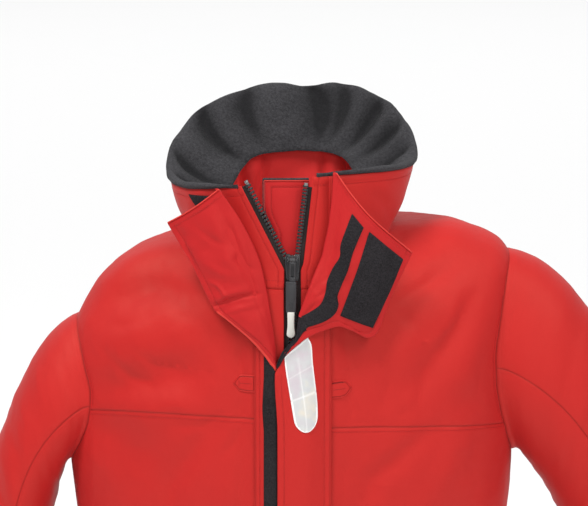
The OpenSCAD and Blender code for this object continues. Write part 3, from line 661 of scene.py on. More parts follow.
RED = (0.462, 0.0122, 0.0128)
M_RED = fabric("outer_red", RED, 0.58)
M_INNER = fabric("inner_red", (0.435, 0.0088, 0.0128), 0.62)
# painted highlight: a lighter red for the turned rims of the flaps and the guard, standing in for the light
# those edges catch
M_EDGE_HIGHLIGHT = fabric("edge_red", (0.60, 0.036, 0.030), 0.5)
M_HOOD = fabric("hood_red", (0.52, 0.014, 0.018), 0.6)
# painted light: the facing inside the collar gets about twice the albedo of the shell red, standing in for
# light that does not reach into the collar
M_FACING_BRIGHTENED = fabric("facing_red", (0.96, 0.046, 0.046), 0.62)
M_LINING = fabric("lining", (0.055, 0.056, 0.066), 0.45, grain=7000, depth=0.00006, low=0.85, high=1.15)
M_FLEECE = pile("fleece", (0.041, 0.0398, 0.0430), 1100, 0.0010, 0.05, grit=3.4)
M_HOOK = pile("hook_tape", (0.020, 0.0175, 0.0195), 1900, 0.0009, 0.0, 0.9, hook=True, grit=5.0)
M_LOOP = pile("loop_tape", (0.020, 0.0175, 0.019), 1700, 0.0008, 0.0, 0.95, grit=4.5)
M_TAPE = fabric("zip_tape", (0.018, 0.014, 0.016), 0.8, grain=6500, depth=0.0003, low=0.7, high=1.3)
M_TEETH = moulded("zip_chain", (0.011, 0.011, 0.012), 0.30)
M_STOP = moulded("zip_stops", (0.20, 0.20, 0.20), 0.30, metal=0.8)
M_SLIDER = moulded("slider", (0.009, 0.009, 0.0105), 0.30, wear=(0.06, 0.06, 0.065))
M_LINK = moulded("pull_link", (0.022, 0.021, 0.024), 0.36, metal=0.3, wear=(0.10, 0.10, 0.10))
M_GRIP = moulded("pull_grip", (0.022, 0.0215, 0.024), 0.5)
M_END = moulded("pull_end", (0.66, 0.66, 0.60), 0.5, low=0.93, high=1.04)
M_THREAD = fabric("thread", (0.40, 0.010, 0.014), 0.55, grain=9000)
M_BAR = fabric("thread_bar", (0.17, 0.006, 0.009), 0.6, grain=9000)
M_WEB = fabric("webbing", (0.024, 0.022, 0.026), 0.7, grain=2600, depth=0.0004, kind="twill")


def film():
    """Reflective film: a fine bead grid with a faint rainbow and heat-welded cross lines."""
    m, t, b = principled("reflective_film", (0.74, 0.75, 0.73), 0.34)
    b.inputs["Metallic"].default_value = 0.25
    pos = node(t, "ShaderNodeTexCoord").outputs["Object"]
    beads = node(t, "ShaderNodeTexVoronoi", {"Vector": pos, "Scale": 2300.0})
    slow = node(t, "ShaderNodeTexNoise", {"Vector": pos, "Scale": 55.0, "Detail": 3.0})
    ramp = node(t, "ShaderNodeValToRGB", {"Fac": slow.outputs["Fac"]})
    cr = ramp.color_ramp
    cr.elements[0].position, cr.elements[0].color = 0.30, (0.58, 0.52, 0.55, 1)
    cr.elements[1].position, cr.elements[1].color = 0.72, (0.70, 0.65, 0.56, 1)
    e = cr.elements.new(0.5)
    e.color = (0.59, 0.60, 0.595, 1)
    weld = node(t, "ShaderNodeAttribute", attribute_name="seam")
    pale = node(t, "ShaderNodeMix", {0: weld.outputs["Fac"], 6: ramp.outputs["Color"]}, data_type="RGBA")
    pale.inputs[7].default_value = (0.93, 0.92, 0.90, 1)
    t.links.new(pale.outputs[2], b.inputs["Base Color"])
    h = maths(t, "ADD", beads.outputs["Distance"], maths(t, "MULTIPLY", slow.outputs["Fac"], 3.0))
    bp = node(t, "ShaderNodeBump", {"Strength": 0.7, "Distance": 0.0002, "Height": h})
    t.links.new(bp.outputs[0], b.inputs["Normal"])
    return m


M_FILM = film()
M_RIM = fabric("film_rim", (0.86, 0.85, 0.84), 0.4, grain=6000, low=0.96, high=1.02)


def put(obj, body, slot, *nodes):
    """Joins a finished piece to its body (a body named bend:... has its transform baked into the mesh
    instead) and hides the CAD nodes it stands for; slot is not used.
    """
    if body.startswith("bend:"):
        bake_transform(obj)
    else:
        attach(obj, body)
    if nodes:
        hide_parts(*nodes)
    return obj


def graded(a, b, n, first=0.8, last=0.8):
    """n + 1 values from a to b, closer together at the ends."""
    t = np.linspace(0, 1, n + 1)
    w = 1 - first * bump(t, 0, 0.16) - last * bump(t, 1, 0.16)
    d = np.concatenate([[0], np.cumsum((w[1:] + w[:-1]) / 2)])
    return a + (b - a) * d / d[-1]


def rim_distance(g, sides="tblr"):
    """Distance in mm of each grid point from the named sides: t and b are rows, l and r columns."""
    du = np.linalg.norm(np.diff(g, axis=0), axis=-1)
    dv = np.linalg.norm(np.diff(g, axis=1), axis=-1)
    d = np.full(g.shape[:2], 1e3)
    zr, zc = np.zeros((1, g.shape[1])), np.zeros((g.shape[0], 1))
    if "t" in sides:
        d = np.minimum(d, np.concatenate([zr, np.cumsum(du, 0)], 0))
    if "b" in sides:
        d = np.minimum(d, np.concatenate([np.cumsum(du[::-1], 0)[::-1], zr], 0))
    if "l" in sides:
        d = np.minimum(d, np.concatenate([zc, np.cumsum(dv, 1)], 1))
    if "r" in sides:
        d = np.minimum(d, np.concatenate([np.cumsum(dv[:, ::-1], 1)[:, ::-1], zc], 1))
    return d


def seam_relief(g, n, sides, depth=0.75, fade=1.0):
    """The grid with its sewn sides drawn in and puckered, and the painted shade along the seam."""
    d = rim_distance(g, sides)
    pucker = noise(g, (5, 5, 5), 11) * 0.32 * bump(d, 3.0, 5.0)
    drop = -depth * bump(d, 0, 1.6) - 0.35 * depth * bump(d, 4.6, 1.2) + pucker
    return g + n * (drop * fade)[..., None], 0.9 * bump(d, 0, 1.0) * fade


def sewn(name, g, n, sides, fade=1.0):
    """A panel of the shell with its named sides sewn."""
    g2, mark = seam_relief(g, n, sides, fade=fade)
    return slab(name, g2, g - n * CLOTH, M_RED, mark=mark)


def tree_of(g):
    """A search tree over a grid, for laying trim and stitches on it from the front."""
    r, c, _ = g.shape
    faces = quads(np.arange(r * c).reshape(r, c))
    return BVHTree.FromPolygons(g.reshape(-1, 3).tolist(), faces.tolist())


def drape(tree, xz, lift=0.0):
    """Points of the front view laid on a surface, lifted off it, with the surface's outward directions."""
    xz = np.asarray(xz, float)
    flat = xz.reshape(-1, 2)
    pts, outs = np.empty((len(flat), 3)), np.empty((len(flat), 3))
    for i, (x, z) in enumerate(flat):
        hit, n, _, _ = tree.ray_cast((x, -400.0, z), (0, 1, 0))
        if hit is None:
            hit, n, _, _ = tree.find_nearest((x, -136.0, z))
        n = np.array(n)
        pts[i], outs[i] = hit, n if n[1] < 0 else -n
    outs = outs.reshape(xz.shape[:-1] + (3,))
    for _ in range(3):
        if outs.ndim == 3:
            outs[1:-1] = unit(outs[1:-1] * 2 + outs[:-2] + outs[2:])
            outs[:, 1:-1] = unit(outs[:, 1:-1] * 2 + outs[:, :-2] + outs[:, 2:])
    return pts.reshape(xz.shape[:-1] + (3,)) + outs * lift, outs


def resample(line, n, smooth=True):
    """n points evenly along a smooth line through the given points."""
    line = np.asarray(line, float)
    fine = through(line, np.linspace(0, len(line) - 1, 12 * len(line))) if smooth else line
    d = run_length(fine)
    t = np.linspace(0, d[-1], n)
    return stack([np.interp(t, d, fine[:, k]) for k in range(fine.shape[1])], -1)


def ribbon(left, right, n, m, smooth=True):
    a, b = resample(left, n, smooth), resample(right, n, smooth)
    k = np.linspace(0, 1, m)[None, :, None]
    return a[:, None] * (1 - k) + b[:, None] * k


def applique(name, tree, grid_xz, material, lift, thick):
    """A flat piece sewn onto a surface: its edge is pressed down and its middle stands up."""
    base, n = drape(tree, grid_xz, lift)
    d = rim_distance(base)
    up = thick * (0.55 + 0.45 * ease(d / 1.6))
    return slab(name, base + n * up[..., None], base, material, round_edge=0.5)


def paint(obj, mask, material):
    """Gives the faces whose corners are all in the mask (of the outer grid's points) another material."""
    mesh = obj.data
    mesh.materials.append(material)
    flags = np.zeros(len(mesh.vertices), bool)
    flags[: mask.size] = mask.reshape(-1)
    flags[mask.size: 2 * mask.size] = mask.reshape(-1)
    index = np.zeros(len(mesh.polygons), np.int32)
    for p in mesh.polygons:
        if all(flags[v] or v >= 2 * mask.size for v in p.vertices) and any(flags[v] for v in p.vertices):
            index[p.index] = len(mesh.materials) - 1
    mesh.polygons.foreach_set("material_index", index)
    return obj


# ------------------------------------------------------------------ the cloth of the body
FRONT_FOLDS = [      # a line of (x, z) points down the front, how wide and how high (below zero: a hollow)
    ([(-214, -66), (-187, -57), (-147, -44), (-104, -50)], 13, -5.0),
    ([(-200, -92), (-150, -78), (-100, -88)], 17, 2.2),
    ([(-218, -160), (-170, -149), (-128, -133), (-100, -127)], 20, -8.5),
    ([(-214, -108), (-160, -98), (-110, -100)], 16, 2.0),
    ([(-160, -180), (-130, -166), (-86, -168)], 14, 2.4),
    ([(-226, -192), (-192, -208), (-150, -236)], 26, -7.5),
    ([(-84, -188), (-104, -212), (-128, -250), (-140, -300)], 12, -4.0),
    ([(-60, -196), (-66, -240), (-80, -300)], 12, 2.0),
    ([(206, -36), (175, -89), (153, -120), (118, -170)], 13, -5.0),
    ([(222, -66), (196, -112), (165, -164)], 15, 2.4),
    ([(170, -22), (144, -40), (112, -56)], 9, -3.0),
    ([(150, -60), (120, -104), (86, -140)], 14, 1.8),
    ([(156, -190), (126, -214), (86, -246), (70, -290)], 11, -3.4),
    ([(190, -196), (170, -240), (130, -300)], 14, 2.0),
    ([(-50, -92), (-56, -112), (-52, -132)], 5, -1.6),
    ([(-47, -152), (-54, -166), (-50, -178)], 5, -1.4),
    ([(-52, -188), (-62, -206), (-74, -220)], 5, -1.6),
    ([(52, -96), (64, -118), (60, -134)], 6, -1.6),
    ([(56, -150), (66, -168), (58, -182)], 5, -1.4),
    ([(-146, -66), (-176, -86), (-206, -92)], 7, -1.6),
    ([(-172, -112), (-148, -126), (-126, -128)], 6, -1.6),
    ([(-198, -122), (-176, -142), (-150, -150)], 6, -1.5),
    ([(-76, -176), (-96, -188), (-124, -190)], 5, -1.4),
    ([(108, -64), (132, -82), (148, -108)], 6, -1.5),
    ([(178, -60), (168, -84), (150, -104)], 6, 1.3),
    ([(92, -112), (104, -140), (96, -168)], 6, -1.4),
    ([(136, -136), (126, -160), (104, -176)], 6, 1.3),
    ([(-190, -330), (-120, -360), (-60, -350)], 20, -4.0),
    ([(180, -300), (120, -345), (60, -350)], 20, -4.0)]


def to_line(x, z, line):
    """Distance of (x, z) from a line of points, and how far along it the nearest place is, 0 to 1."""
    line = np.asarray(line, float)
    best = np.full(np.shape(x), 1e9)
    place = np.zeros(np.shape(x))
    n = len(line) - 1
    for i in range(n):
        a, d = line[i], line[i + 1] - line[i]
        t = np.clip(((x - a[0]) * d[0] + (z - a[1]) * d[1]) / (d @ d), 0, 1)
        dist = np.hypot(x - a[0] - d[0] * t, z - a[1] - d[1] * t)
        closer = dist < best
        best = np.where(closer, dist, best)
        place = np.where(closer, (i + t) / n, place)
    return best, place


def creases(p, lines, ends=0.3):
    """How far lines of (points, width, height) stand out at points p; each is lower at its ends."""
    total = np.zeros(p.shape[:-1])
    for line, width, high in lines:
        d, place = to_line(p[..., 0], p[..., 2], line)
        total = total + high * np.exp(-(d / width) ** 2) * (ends + (1 - ends) * np.sin(np.pi * place))
    return total


def folds(p):
    """How far the cloth of the body stands out from its smooth shape, mm. It is mostly drawn in."""
    f = (2.9 * noise(p, (74, 74, 150), 1) + 1.4 * noise(p, (38, 50, 62), 2)
         + 0.75 * noise(p, (17, 20, 24), 3) + 0.24 * noise(p, (7, 8, 9), 4) - 2.6)
    x, z = p[..., 0], p[..., 2]
    front = ease((-30 - p[..., 1]) / 50)
    f = f + front * creases(p, FRONT_FOLDS, 0.35)
    f = f + 4.0 * bump(x, 150, 40) * ease((z + 90) / 40) * ease((p[..., 1] + 70) / 50)
    calm = np.where(p[..., 1] < 0, ease((np.abs(x) - 42) / 16), 1.0)
    pocket = ease((np.abs(x) - 78) / 16) * ease((206 - np.abs(x)) / 16)
    pocket = pocket * ease((z + 625) / 18) * ease((-392 - z) / 18) * (p[..., 1] < 0)
    raised = 13.0 * bump(x, -172, 50) * ease((z + 90) / 40) * ease((p[..., 1] + 70) / 50)
    return np.minimum(f, 1.5 + 0.4 * f) * calm * (1 - 0.85 * pocket) + raised


def skin(a, s, o=0.0):
    p, n = body_at(a, s), body_out(a, s)
    return p + n * (folds(p) + o)[..., None], n


YOKE_S = np.concatenate([graded(0, 2.9, 46, 0.8, 0.0), 4 - np.cos(np.radians(graded(0, 90, 36, 0.0, 0.8)))])
PANEL_S = np.concatenate([4 - np.cos(np.radians(graded(90, 180, 36, 0.8, 0.0))),
                          graded(5, 8, 110, 0.0, 0.9)[1:]])
LINING_S = np.concatenate([[0.15, 0.6, 1.2, 2, 2.6], 4 - np.cos(np.radians(np.linspace(0, 180, 19))),
                           np.linspace(5.3, 7.7, 18)])


def arm_cut(s):
    return ARM_OPEN * np.sqrt(np.maximum(0, 1 - (s - 4) ** 2))


def yoke_turn(k, side):
    """Where round the armhole, in degrees, each column of a front meets the nearly level yoke seam."""
    level = np.full_like(k, -188.0) if side > 0 else mix(-178.5, -172.5, ease(k / 0.55))
    f = np.linspace(60, 172, 113)
    row = 4 - np.cos(np.radians(f))
    a0 = angle_at(np.full_like(row, ZIP_HALF), row)
    a = a0[:, None] + (90 - arm_cut(row) - a0)[:, None] * k[None]
    p = body_at(side * a, np.broadcast_to(row[:, None], a.shape))
    z = p[..., 2] + 0.21 * (p[..., 1] + 126)
    return np.array([np.interp(-level[i], -z[:, i], f) for i in range(len(k))])


def front_grid(side, s, cols=90, o=0.0, x_edge=ZIP_HALF, level=False):
    k = graded(0, 1, cols)
    rows = np.broadcast_to(s[:, None], (len(s), len(k)))
    if level:
        turn = yoke_turn(k, side)[None]
        f = np.degrees(np.arccos(np.clip(4 - rows, -1, 1)))
        f = np.where(f <= 90, f * turn / 90, 180 - (180 - f) * (180 - turn) / 90)
        rows = np.where((rows > 3) & (rows < 5), 4 - np.cos(np.radians(f)), rows)
    a0 = angle_at(np.full_like(rows, x_edge), rows)
    a = a0 + (90 - arm_cut(rows) - a0) * k[None]
    return skin(side * a, rows, o)


def back_grid(s, cols=150, o=0.0):
    k = graded(0, 1, cols)
    a0 = 90 + arm_cut(s)
    a = a0[:, None] + (360 - 2 * a0)[:, None] * k[None]
    return skin(a, np.broadcast_to(s[:, None], a.shape), o)


SEAMS = []           # topstitching on the jacket: points and outward directions
QUIET = mix(0.22, 1.0, ease((YOKE_S - 2.75) / 0.25))[:, None]      # the shoulder seam is pressed flat


def inset(g, n, side, dist):
    """The line of a grid at a distance from one of its sides, with the outward directions along it."""
    d = rim_distance(g, side)
    if side in "lr":
        d, g, n = d.T, g.transpose(1, 0, 2), n.transpose(1, 0, 2)
    if side in "br":
        d, g, n = d[::-1], g[::-1], n[::-1]
    pts, outs = [], []
    for k in range(g.shape[1]):
        pts.append([np.interp(dist, d[:, k], g[:, k, i]) for i in range(3)])
        outs.append([np.interp(dist, d[:, k], n[:, k, i]) for i in range(3)])
    return np.array(pts), unit(np.array(outs))


for side, word in ((1, "left"), (-1, "right")):
    g, n = front_grid(side, YOKE_S, level=True)
    put(sewn(f"front_yoke_{word}_cloth", g, n, "br", fade=QUIET), "jacket", "outer_red", f"front_yoke_{word}")
    SEAMS.append(inset(g[-26:], n[-26:], "r", STITCH_IN))
    g, n = front_grid(side, PANEL_S, level=True)
    put(sewn(f"front_panel_{word}_cloth", g, n, "tr"), "jacket", "outer_red", f"front_panel_{word}")
    SEAMS += [inset(g, n, "t", STITCH_IN), inset(g, n, "b", HEM_IN)]
    g, n = front_grid(side, LINING_S, 34, LINING_IN, 30)
    put(slab(f"body_lining_{word}_cloth", g, g - n * LINING, M_LINING), "jacket", "lining",
        f"body_lining_{word}")
g, n = back_grid(YOKE_S)
put(sewn("back_yoke_cloth", g, n, "blr", fade=QUIET), "jacket", "outer_red", "back_yoke")
g, n = back_grid(PANEL_S)
put(sewn("back_panel_cloth", g, n, "tlr"), "jacket", "outer_red", "back_panel")
SEAMS += [inset(g, n, "t", STITCH_IN), inset(g, n, "b", HEM_IN)]
g, n = back_grid(LINING_S, 60, LINING_IN)
put(slab("body_lining_back_cloth", g, g - n * LINING, M_LINING), "jacket", "lining", "body_lining_back")

# the turned-up hem
s = np.linspace(7.75, 8, 10)
a0 = angle_at(np.full_like(s, 25.0), s)
a = a0[:, None] + (360 - 2 * a0)[:, None] * np.linspace(0, 1, 220)[None]
g, n = skin(a, np.broadcast_to(s[:, None], a.shape), -4.2)
put(slab("hem_band_cloth", g, g - n * 1.4, M_RED), "jacket", "outer_red", "hem_band")

# ------------------------------------------------------------------ sleeves and cuffs


def arm_out(side, f, t):
    df = sleeve_at(side, f + 2, t) - sleeve_at(side, f - 2, t)
    dt = sleeve_at(side, f, np.minimum(t + 0.01, 1)) - sleeve_at(side, f, np.maximum(t - 0.01, 0.0005))
    n = side * unit(np.cross(df, dt))
    at_body = body_out(side * (90 - ARM_OPEN * np.sin(np.radians(f))), 4 - np.cos(np.radians(f)))
    w = ease(1 - t / 0.05)[..., None]
    return unit(n * (1 - w) + at_body * w)


def arm_folds(side, f, t, p):
    q = stack([60 * np.cos(np.radians(f)), 60 * np.sin(np.radians(f)), 560 * t + 60 * side], -1)
    w = (2.6 * noise(q, (58, 58, 30), 5) + 1.3 * noise(q, (30, 30, 16), 6) + 0.4 * noise(q, (12, 12, 9), 7)
         - 2.2)
    grow = ease((t - 0.03) / 0.3) * (0.55 + 0.45 * bump(t, 0.52, 0.16)) * (1 - ease((t - 0.82) / 0.07))
    return mix(folds(p), w, ease(t / 0.16)) * mix(1, grow, ease(t / 0.16))


def arm_skin(side, f, t, o=0.0):
    f, t = np.broadcast_arrays(np.asarray(f, float), np.asarray(t, float))
    p, n = sleeve_at(side, f, t), arm_out(side, f, t)
    return p + n * (arm_folds(side, f, t, p) + o)[..., None], n


ARM_T = graded(0, 1, 150, 0.85, 0.5)
for side, word in ((1, "left"), (-1, "right")):
    for part, f0 in (("top", -90), ("under", 90)):
        f = f0 + np.concatenate([graded(0, 90, 36, 0.8, 0.0), 90 + graded(0, 90, 36, 0.0, 0.8)[1:]])
        if part == "under":
            f = f0 + graded(0, 180, 70)
        g, n = arm_skin(side, f[None], ARM_T[:, None])
        put(sewn(f"{part}_sleeve_{word}_cloth", g, n, "tlr"), "jacket", "outer_red", f"{part}_sleeve_{word}")
    f = np.arange(0, 360, 7.5)
    t = np.linspace(0.06, 0.975, 60)
    g, n = arm_skin(side, f[None], t[:, None], LINING_IN)
    put(slab(f"sleeve_lining_{word}_cloth", g, g - n * LINING, M_LINING, wrap=True), "jacket", "lining",
        f"sleeve_lining_{word}")
    # cuff band, its loop pad and strap
    f = np.arange(0, 360, 3.0)
    t = graded(0.9, 1.0, 22)
    g, n = arm_skin(side, f[None], t[:, None], 2.6)
    d = rim_distance(g, "tb")
    h = -0.9 * bump(d, 0, 2.2) - 0.35 * bump(d, 5, 1.1) + noise(g, (6, 6, 6), 12) * 0.35 * bump(d, 3, 5)
    SEAMS += [inset(g, n, "t", STITCH_IN), inset(g, n, "b", STITCH_IN)]
    # painted shade in the stitch grooves near both edges of the cuff (mark)
    put(slab(f"cuff_{word}_cloth", g + n * h[..., None], g - n * 2.4, M_RED, wrap=True,
             mark=0.8 * bump(d, 5, 0.7)),
        "jacket", "outer_red", f"cuff_{word}")
    f = np.linspace(-20, 40, 30)
    t = np.linspace(0.93, 0.975, 16)
    g, n = arm_skin(side, f[None], t[:, None], 3.3)
    put(slab(f"cuff_loop_{word}_pile", g + n * 1.2, g, M_LOOP), "jacket", "loop_tape", f"cuff_loop_{word}")
    # the strap bows off its sewn end, with a groove round its edge and a rounded tip
    off = lambda ff, o: (sleeve_at(side, ff, 0.953) + arm_out(side, np.array(float(ff)), np.array(0.953)) * o)
    root, tip = off(-34, 5.9), off(40, 6.1)
    run = unit(tip - root)
    up = unit(arm_out(side, np.array(3.0), np.array(0.953)))
    across = unit(np.cross(up, run))
    k = graded(0, 1, 60, 0.3, 0.8)
    bow = through([0, 8, 12.5, 13.5, 11, 4.6], 5 * k)
    half = 13 * np.sqrt(1 - np.clip((k - 0.9) / 0.1, 0, 1) ** 2 * 0.75)
    v = graded(-1, 1, 22)
    g = ((root + run * (62 * k)[:, None] + up * bow[:, None])[:, None]
         + (half[:, None] * v[None])[..., None] * across)
    g = g + up * (3.0 + 0.5 * noise(g, (14, 14, 14), 31)[..., None])
    d = rim_distance(g)
    g = g - up * (0.7 * bump(d, 0, 1.5) + 0.4 * bump(d, 3.2, 0.8))[..., None]
    # painted shade in the groove round the strap's edge (mark)
    put(slab(f"cuff_strap_{word}_cloth", g, g - up * 2.4, M_RED, mark=0.6 * bump(d, 3.2, 0.5)),
        f"cuff_strap_{word}", "outer_red", f"cuff_strap_{word}")

# ------------------------------------------------------------------ collar


COLLAR_FOLDS = [([(84, 62), (102, 42), (114, 10)], 6, -2.2), ([(94, 64), (116, 48), (126, 40)], 5, 1.6),
                ([(104, 56), (118, 30), (120, 4)], 5, -2.0), ([(70, 30), (92, 16), (112, -6)], 6, 1.4),
                ([(-84, 58), (-104, 40), (-118, 20)], 5, -1.8)]


def away(n, p):
    """Directions at points p of the collar, each turned away from the neck."""
    return np.where((np.sum(n * (p - [0, -10, 0]), -1) < 0)[..., None], -n, n)


def collar_skin(c, u, o=0.0):
    c, u = np.broadcast_arrays(np.asarray(c, float), np.asarray(u, float))
    p, n = collar_at(c, u), collar_out(c, u)
    n = away(n, p)
    soft = ease(np.minimum(c, 1 - c) / 0.07) * np.sin(np.pi * np.clip(u, 0, 1)) ** 0.7
    dent = (1.9 * noise(p, (46, 46, 80), 8) + 0.8 * noise(p, (22, 22, 34), 9) - 1.2) * soft
    calm = ease((-12 - p[..., 1]) / 40) * ease((114 - np.abs(p[..., 0])) / 18)
    dent = dent + creases(p, COLLAR_FOLDS) * soft * calm
    return p + n * (dent + o)[..., None], n


c, u = graded(0, 1, 260, 0.8, 0.8), graded(0, RIM_U, 46)
g, n = collar_skin(c[None], u[:, None])
d = rim_distance(g, "tb")
front = rim_distance(g, "lr")
h = -1.0 * bump(d, 0, 1.8) + noise(g, (5, 5, 5), 13) * 0.35 * bump(rim_distance(g, "t"), 4, 6)
h = h - 0.45 * bump(front, 6, 1.0) - 0.5 * bump(rim_distance(g, "b"), 9, 1.1)
SEAMS += [inset(g, n, "t", 9.5), inset(g, n, "b", 9), inset(g, n, "l", 5.6), inset(g, n, "r", 5.6)]
# painted shade along the top rim, where the fleece rolls over it (mark)
put(slab("collar_shell_cloth", g + n * h[..., None], g - n * 2.0, M_RED,
         mark=0.8 * bump(rim_distance(g, "t"), 0, 1.2)), "jacket", "outer_red", "collar_shell")


FLEECE_SHOW = [(0, -64, -92, 14), (0.167, -80, -40, 28), (0.27, -66, 0, 52), (0.35, -55, 20, 68),
               (0.42, -38, 38, 79),
               (0.5, 6, 50, 82), (0.58, 40, 43, 81), (0.65, 58, 22, 77), (0.73, 72, -8, 60),
               (0.833, 86, -40, 40), (1, 34, -96, 24)]


def fleece_low(c):
    t = np.interp(c, [q[0] for q in FLEECE_SHOW], np.arange(len(FLEECE_SHOW)))
    return through([q[1:] for q in FLEECE_SHOW], t)


def fleece_line(c, w):
    top = collar_at(c, RIM_U) - collar_out(c, np.full_like(c, RIM_U)) * 5.4
    low = fleece_low(c)
    inward = unit(stack([-top[..., 0], -20 - top[..., 1], 0 * c], -1))
    return mix(top, low, w[..., None]) - inward * (6 * np.sin(np.pi * w) * np.sin(np.pi * c))[..., None]


# the fleece goes from just outside the rim, over it in a soft roll, and down inside the collar
c = graded(0.004, 0.996, 460, 0.6, 0.6)
rim_top = collar_at(c, np.ones_like(c))
height = np.linalg.norm(rim_top - collar_at(c, np.zeros_like(c)), axis=-1)
n1 = collar_out(c, np.ones_like(c))
n1 = away(n1, rim_top)
upw = unit(rim_top - collar_at(c, np.full_like(c, 0.9)))
thin = ease(np.minimum(c, 1 - c) / 0.13)          # the padding thins out at the two front corners
rear = ease((c - 0.2) / 0.15) * ease((0.8 - c) / 0.15)
lip = 0.9 + 2.6 * thin * rear
puff = (thin * (1.4 + rear
                * (5.4 + 4.0 * bump(c, 0.462, 0.020) + 5.0 * bump(c, 0.553, 0.026)
                   + 2.0 * bump(c, 0.40, 0.02) - 1.0 * bump(c, 0.508, 0.02)
                         + 1.6 * bump(c, 0.62, 0.018) + 1.2 * bump(c, 0.335, 0.02))))
low = fleece_low(c)
inward = unit(stack([-rim_top[:, 0], -20 - rim_top[:, 1], 0 * c], -1))
posts = [collar_at(c, 1 - lip / height) + n1 * 0.9,
         rim_top + n1 * (1.2 + (1.1 + 1.6 * rear) * thin)[:, None] + upw * (0.7 + 1.6 * thin)[:, None],
         rim_top + n1 * (0.1 - 1.5 * thin)[:, None] + upw * (1.3 + 1.5 * thin + puff)[:, None],
         mix(rim_top, low, (0.11 + 0 * c)[:, None]) - n1 * (1.6 + 4.4 * thin)[:, None]
         + upw * (0.5 * puff)[:, None],
         mix(rim_top, low, (0.5 + 0 * c)[:, None]) - n1 * (1.5 + 1.5 * thin)[:, None],
         low]
posts = np.stack(posts)
v = np.concatenate([np.linspace(0, 3, 13)[:-1], np.linspace(3, 5, 50)])
g = net(posts, v[:, None], np.arange(len(c))[None].astype(float))
thick = np.interp(v, [0, 1, 2, 3, 5], [0.7, 1.5, 2.6, 2.6, 2.8])[:, None] * (0.45 + 0.55 * thin)[None]
n = grid_out(g, np.zeros(3))
if n[7].mean(0)[2] < 0:
    n = -n
wv = np.clip((v - 1.2) / 3.8, 0, 1)[:, None]
cc = np.broadcast_to(c[None], g.shape[:2])
# folds of the padding: each a crease from the rim (first number) to the low edge (second), width and depth
CREASES = [(0.262, 0.200, 0.017, 8.0), (0.330, 0.258, 0.015, 11.0), (0.405, 0.372, 0.013, 12.0),
           (0.456, 0.440, 0.012, 7.0),
           (0.514, 0.536, 0.011, 10.5), (0.546, 0.562, 0.010, 8.0), (0.590, 0.614, 0.013, 11.5),
           (0.650, 0.672, 0.013, 9.5),
           (0.712, 0.735, 0.015, 7.0)]
pleat = 5.0 * np.ones_like(cc)
# painted shade: each crease of the padding gets a darker band, which pile() mixes into the fleece colour
hollow_shade = np.zeros_like(cc)
for c_top, c_low, width, deep in CREASES:
    at = c_top + (c_low - c_top) * ease(wv * 1.1)
    off = (cc - at) / (width * (1 + 0.7 * wv))
    pleat = pleat - deep * np.exp(-np.abs(off) ** 1.4) + 0.24 * deep * bump(off, 1.9, 0.9)
    hollow_shade = hollow_shade + deep / 8 * (bump(off, 0.15, 0.5) + 0.5 * bump(off, -0.3, 1.3))
hollow_shade = hollow_shade * np.sin(np.pi * np.clip(wv * 0.84 + 0.06, 0, 1)) ** 1.5
begin = 0.08 + 0.18 * (1 - bump(cc, 0.48, 0.10))
deepen = ease((wv - begin + 0.06) / 0.34) * (1 - 0.4 * ease((wv - 0.72) / 0.28))
hollow_shade = hollow_shade * deepen
pleat = (mix(2.2, pleat, deepen) * (0.12 + 0.88 * np.sin(np.pi * np.clip(wv * 0.84 + 0.10, 0, 1)) ** 1.3)
         * ease(np.minimum(cc, 1 - cc) / 0.12))
nap = 1.6 * noise(g, (26, 26, 20), 25) + 1.0 * noise(g, (14, 14, 14), 22) + 0.4 * noise(g, (5, 5, 5), 23)
d = rim_distance(g, "b")
h = pleat * ease((v - 0.7) / 1.6)[:, None] + nap * (0.35 + 0.65 * wv) - 0.8 * bump(d, 0, 1.6)
fleece = slab("collar_fleece_pad", g + n * h[..., None],
              g + n * (np.minimum(h - 2.2 * thin[None] ** 2, -thick))[..., None], M_FLEECE,
              mark=np.clip(hollow_shade, 0, 1), round_edge=0.5)
put(fleece, "jacket", "fleece", "collar_fleece")

# red facing from the fleece down to the neck seam
c = graded(0.06, 0.94, 260, 0.4, 0.4)
w = graded(0, 1, 54)[:, None]
low_x, low_y = fleece_low(c)[:, 0], fleece_low(c)[:, 1] + 20
back = unit(stack([low_x, low_y, 0 * c], -1))
top = fleece_low(c) + back * 9.5 + [0, 0, 2.0]
low_a = neck_angle(c)
low = body_at(low_a, np.full_like(c, 0.05)) - body_out(low_a, np.full_like(c, 0.05)) * 13
g = mix(top[None], low[None], w[..., None])
n = grid_out(g, np.zeros(3))
inside = unit(stack([-g[..., 0], -20 - g[..., 1], 0 * g[..., 0]], -1))
if np.sum(n * inside) < 0:
    n = -n
cc = np.broadcast_to(c[None], g.shape[:2])
drop = -7.0 * bump(cc, 0.395 + 0.02 * w, 0.010) - 5.5 * bump(cc, 0.452 - 0.01 * w, 0.008) - 6.0 * bump(cc,
        0.598, 0.010) - 4.0 * bump(cc, 0.545, 0.008) \
    + 2.5 * bump(cc, 0.425, 0.012) + 2.5 * bump(cc, 0.572,
                                                0.012) + 1.2 * np.sin(cc * 47 + 1.3 * w) + 1.3 * noise(g,
                                                        (30, 30, 46), 24)
h = drop * np.sin(np.pi * np.clip(w * 0.9 + 0.08, 0, 1)) - 0.4
put(slab("collar_facing_cloth", g + n * h[..., None], g + n * (h - 1.2)[..., None], M_FACING_BRIGHTENED), "jacket",
    "inner_red", "collar_facing")

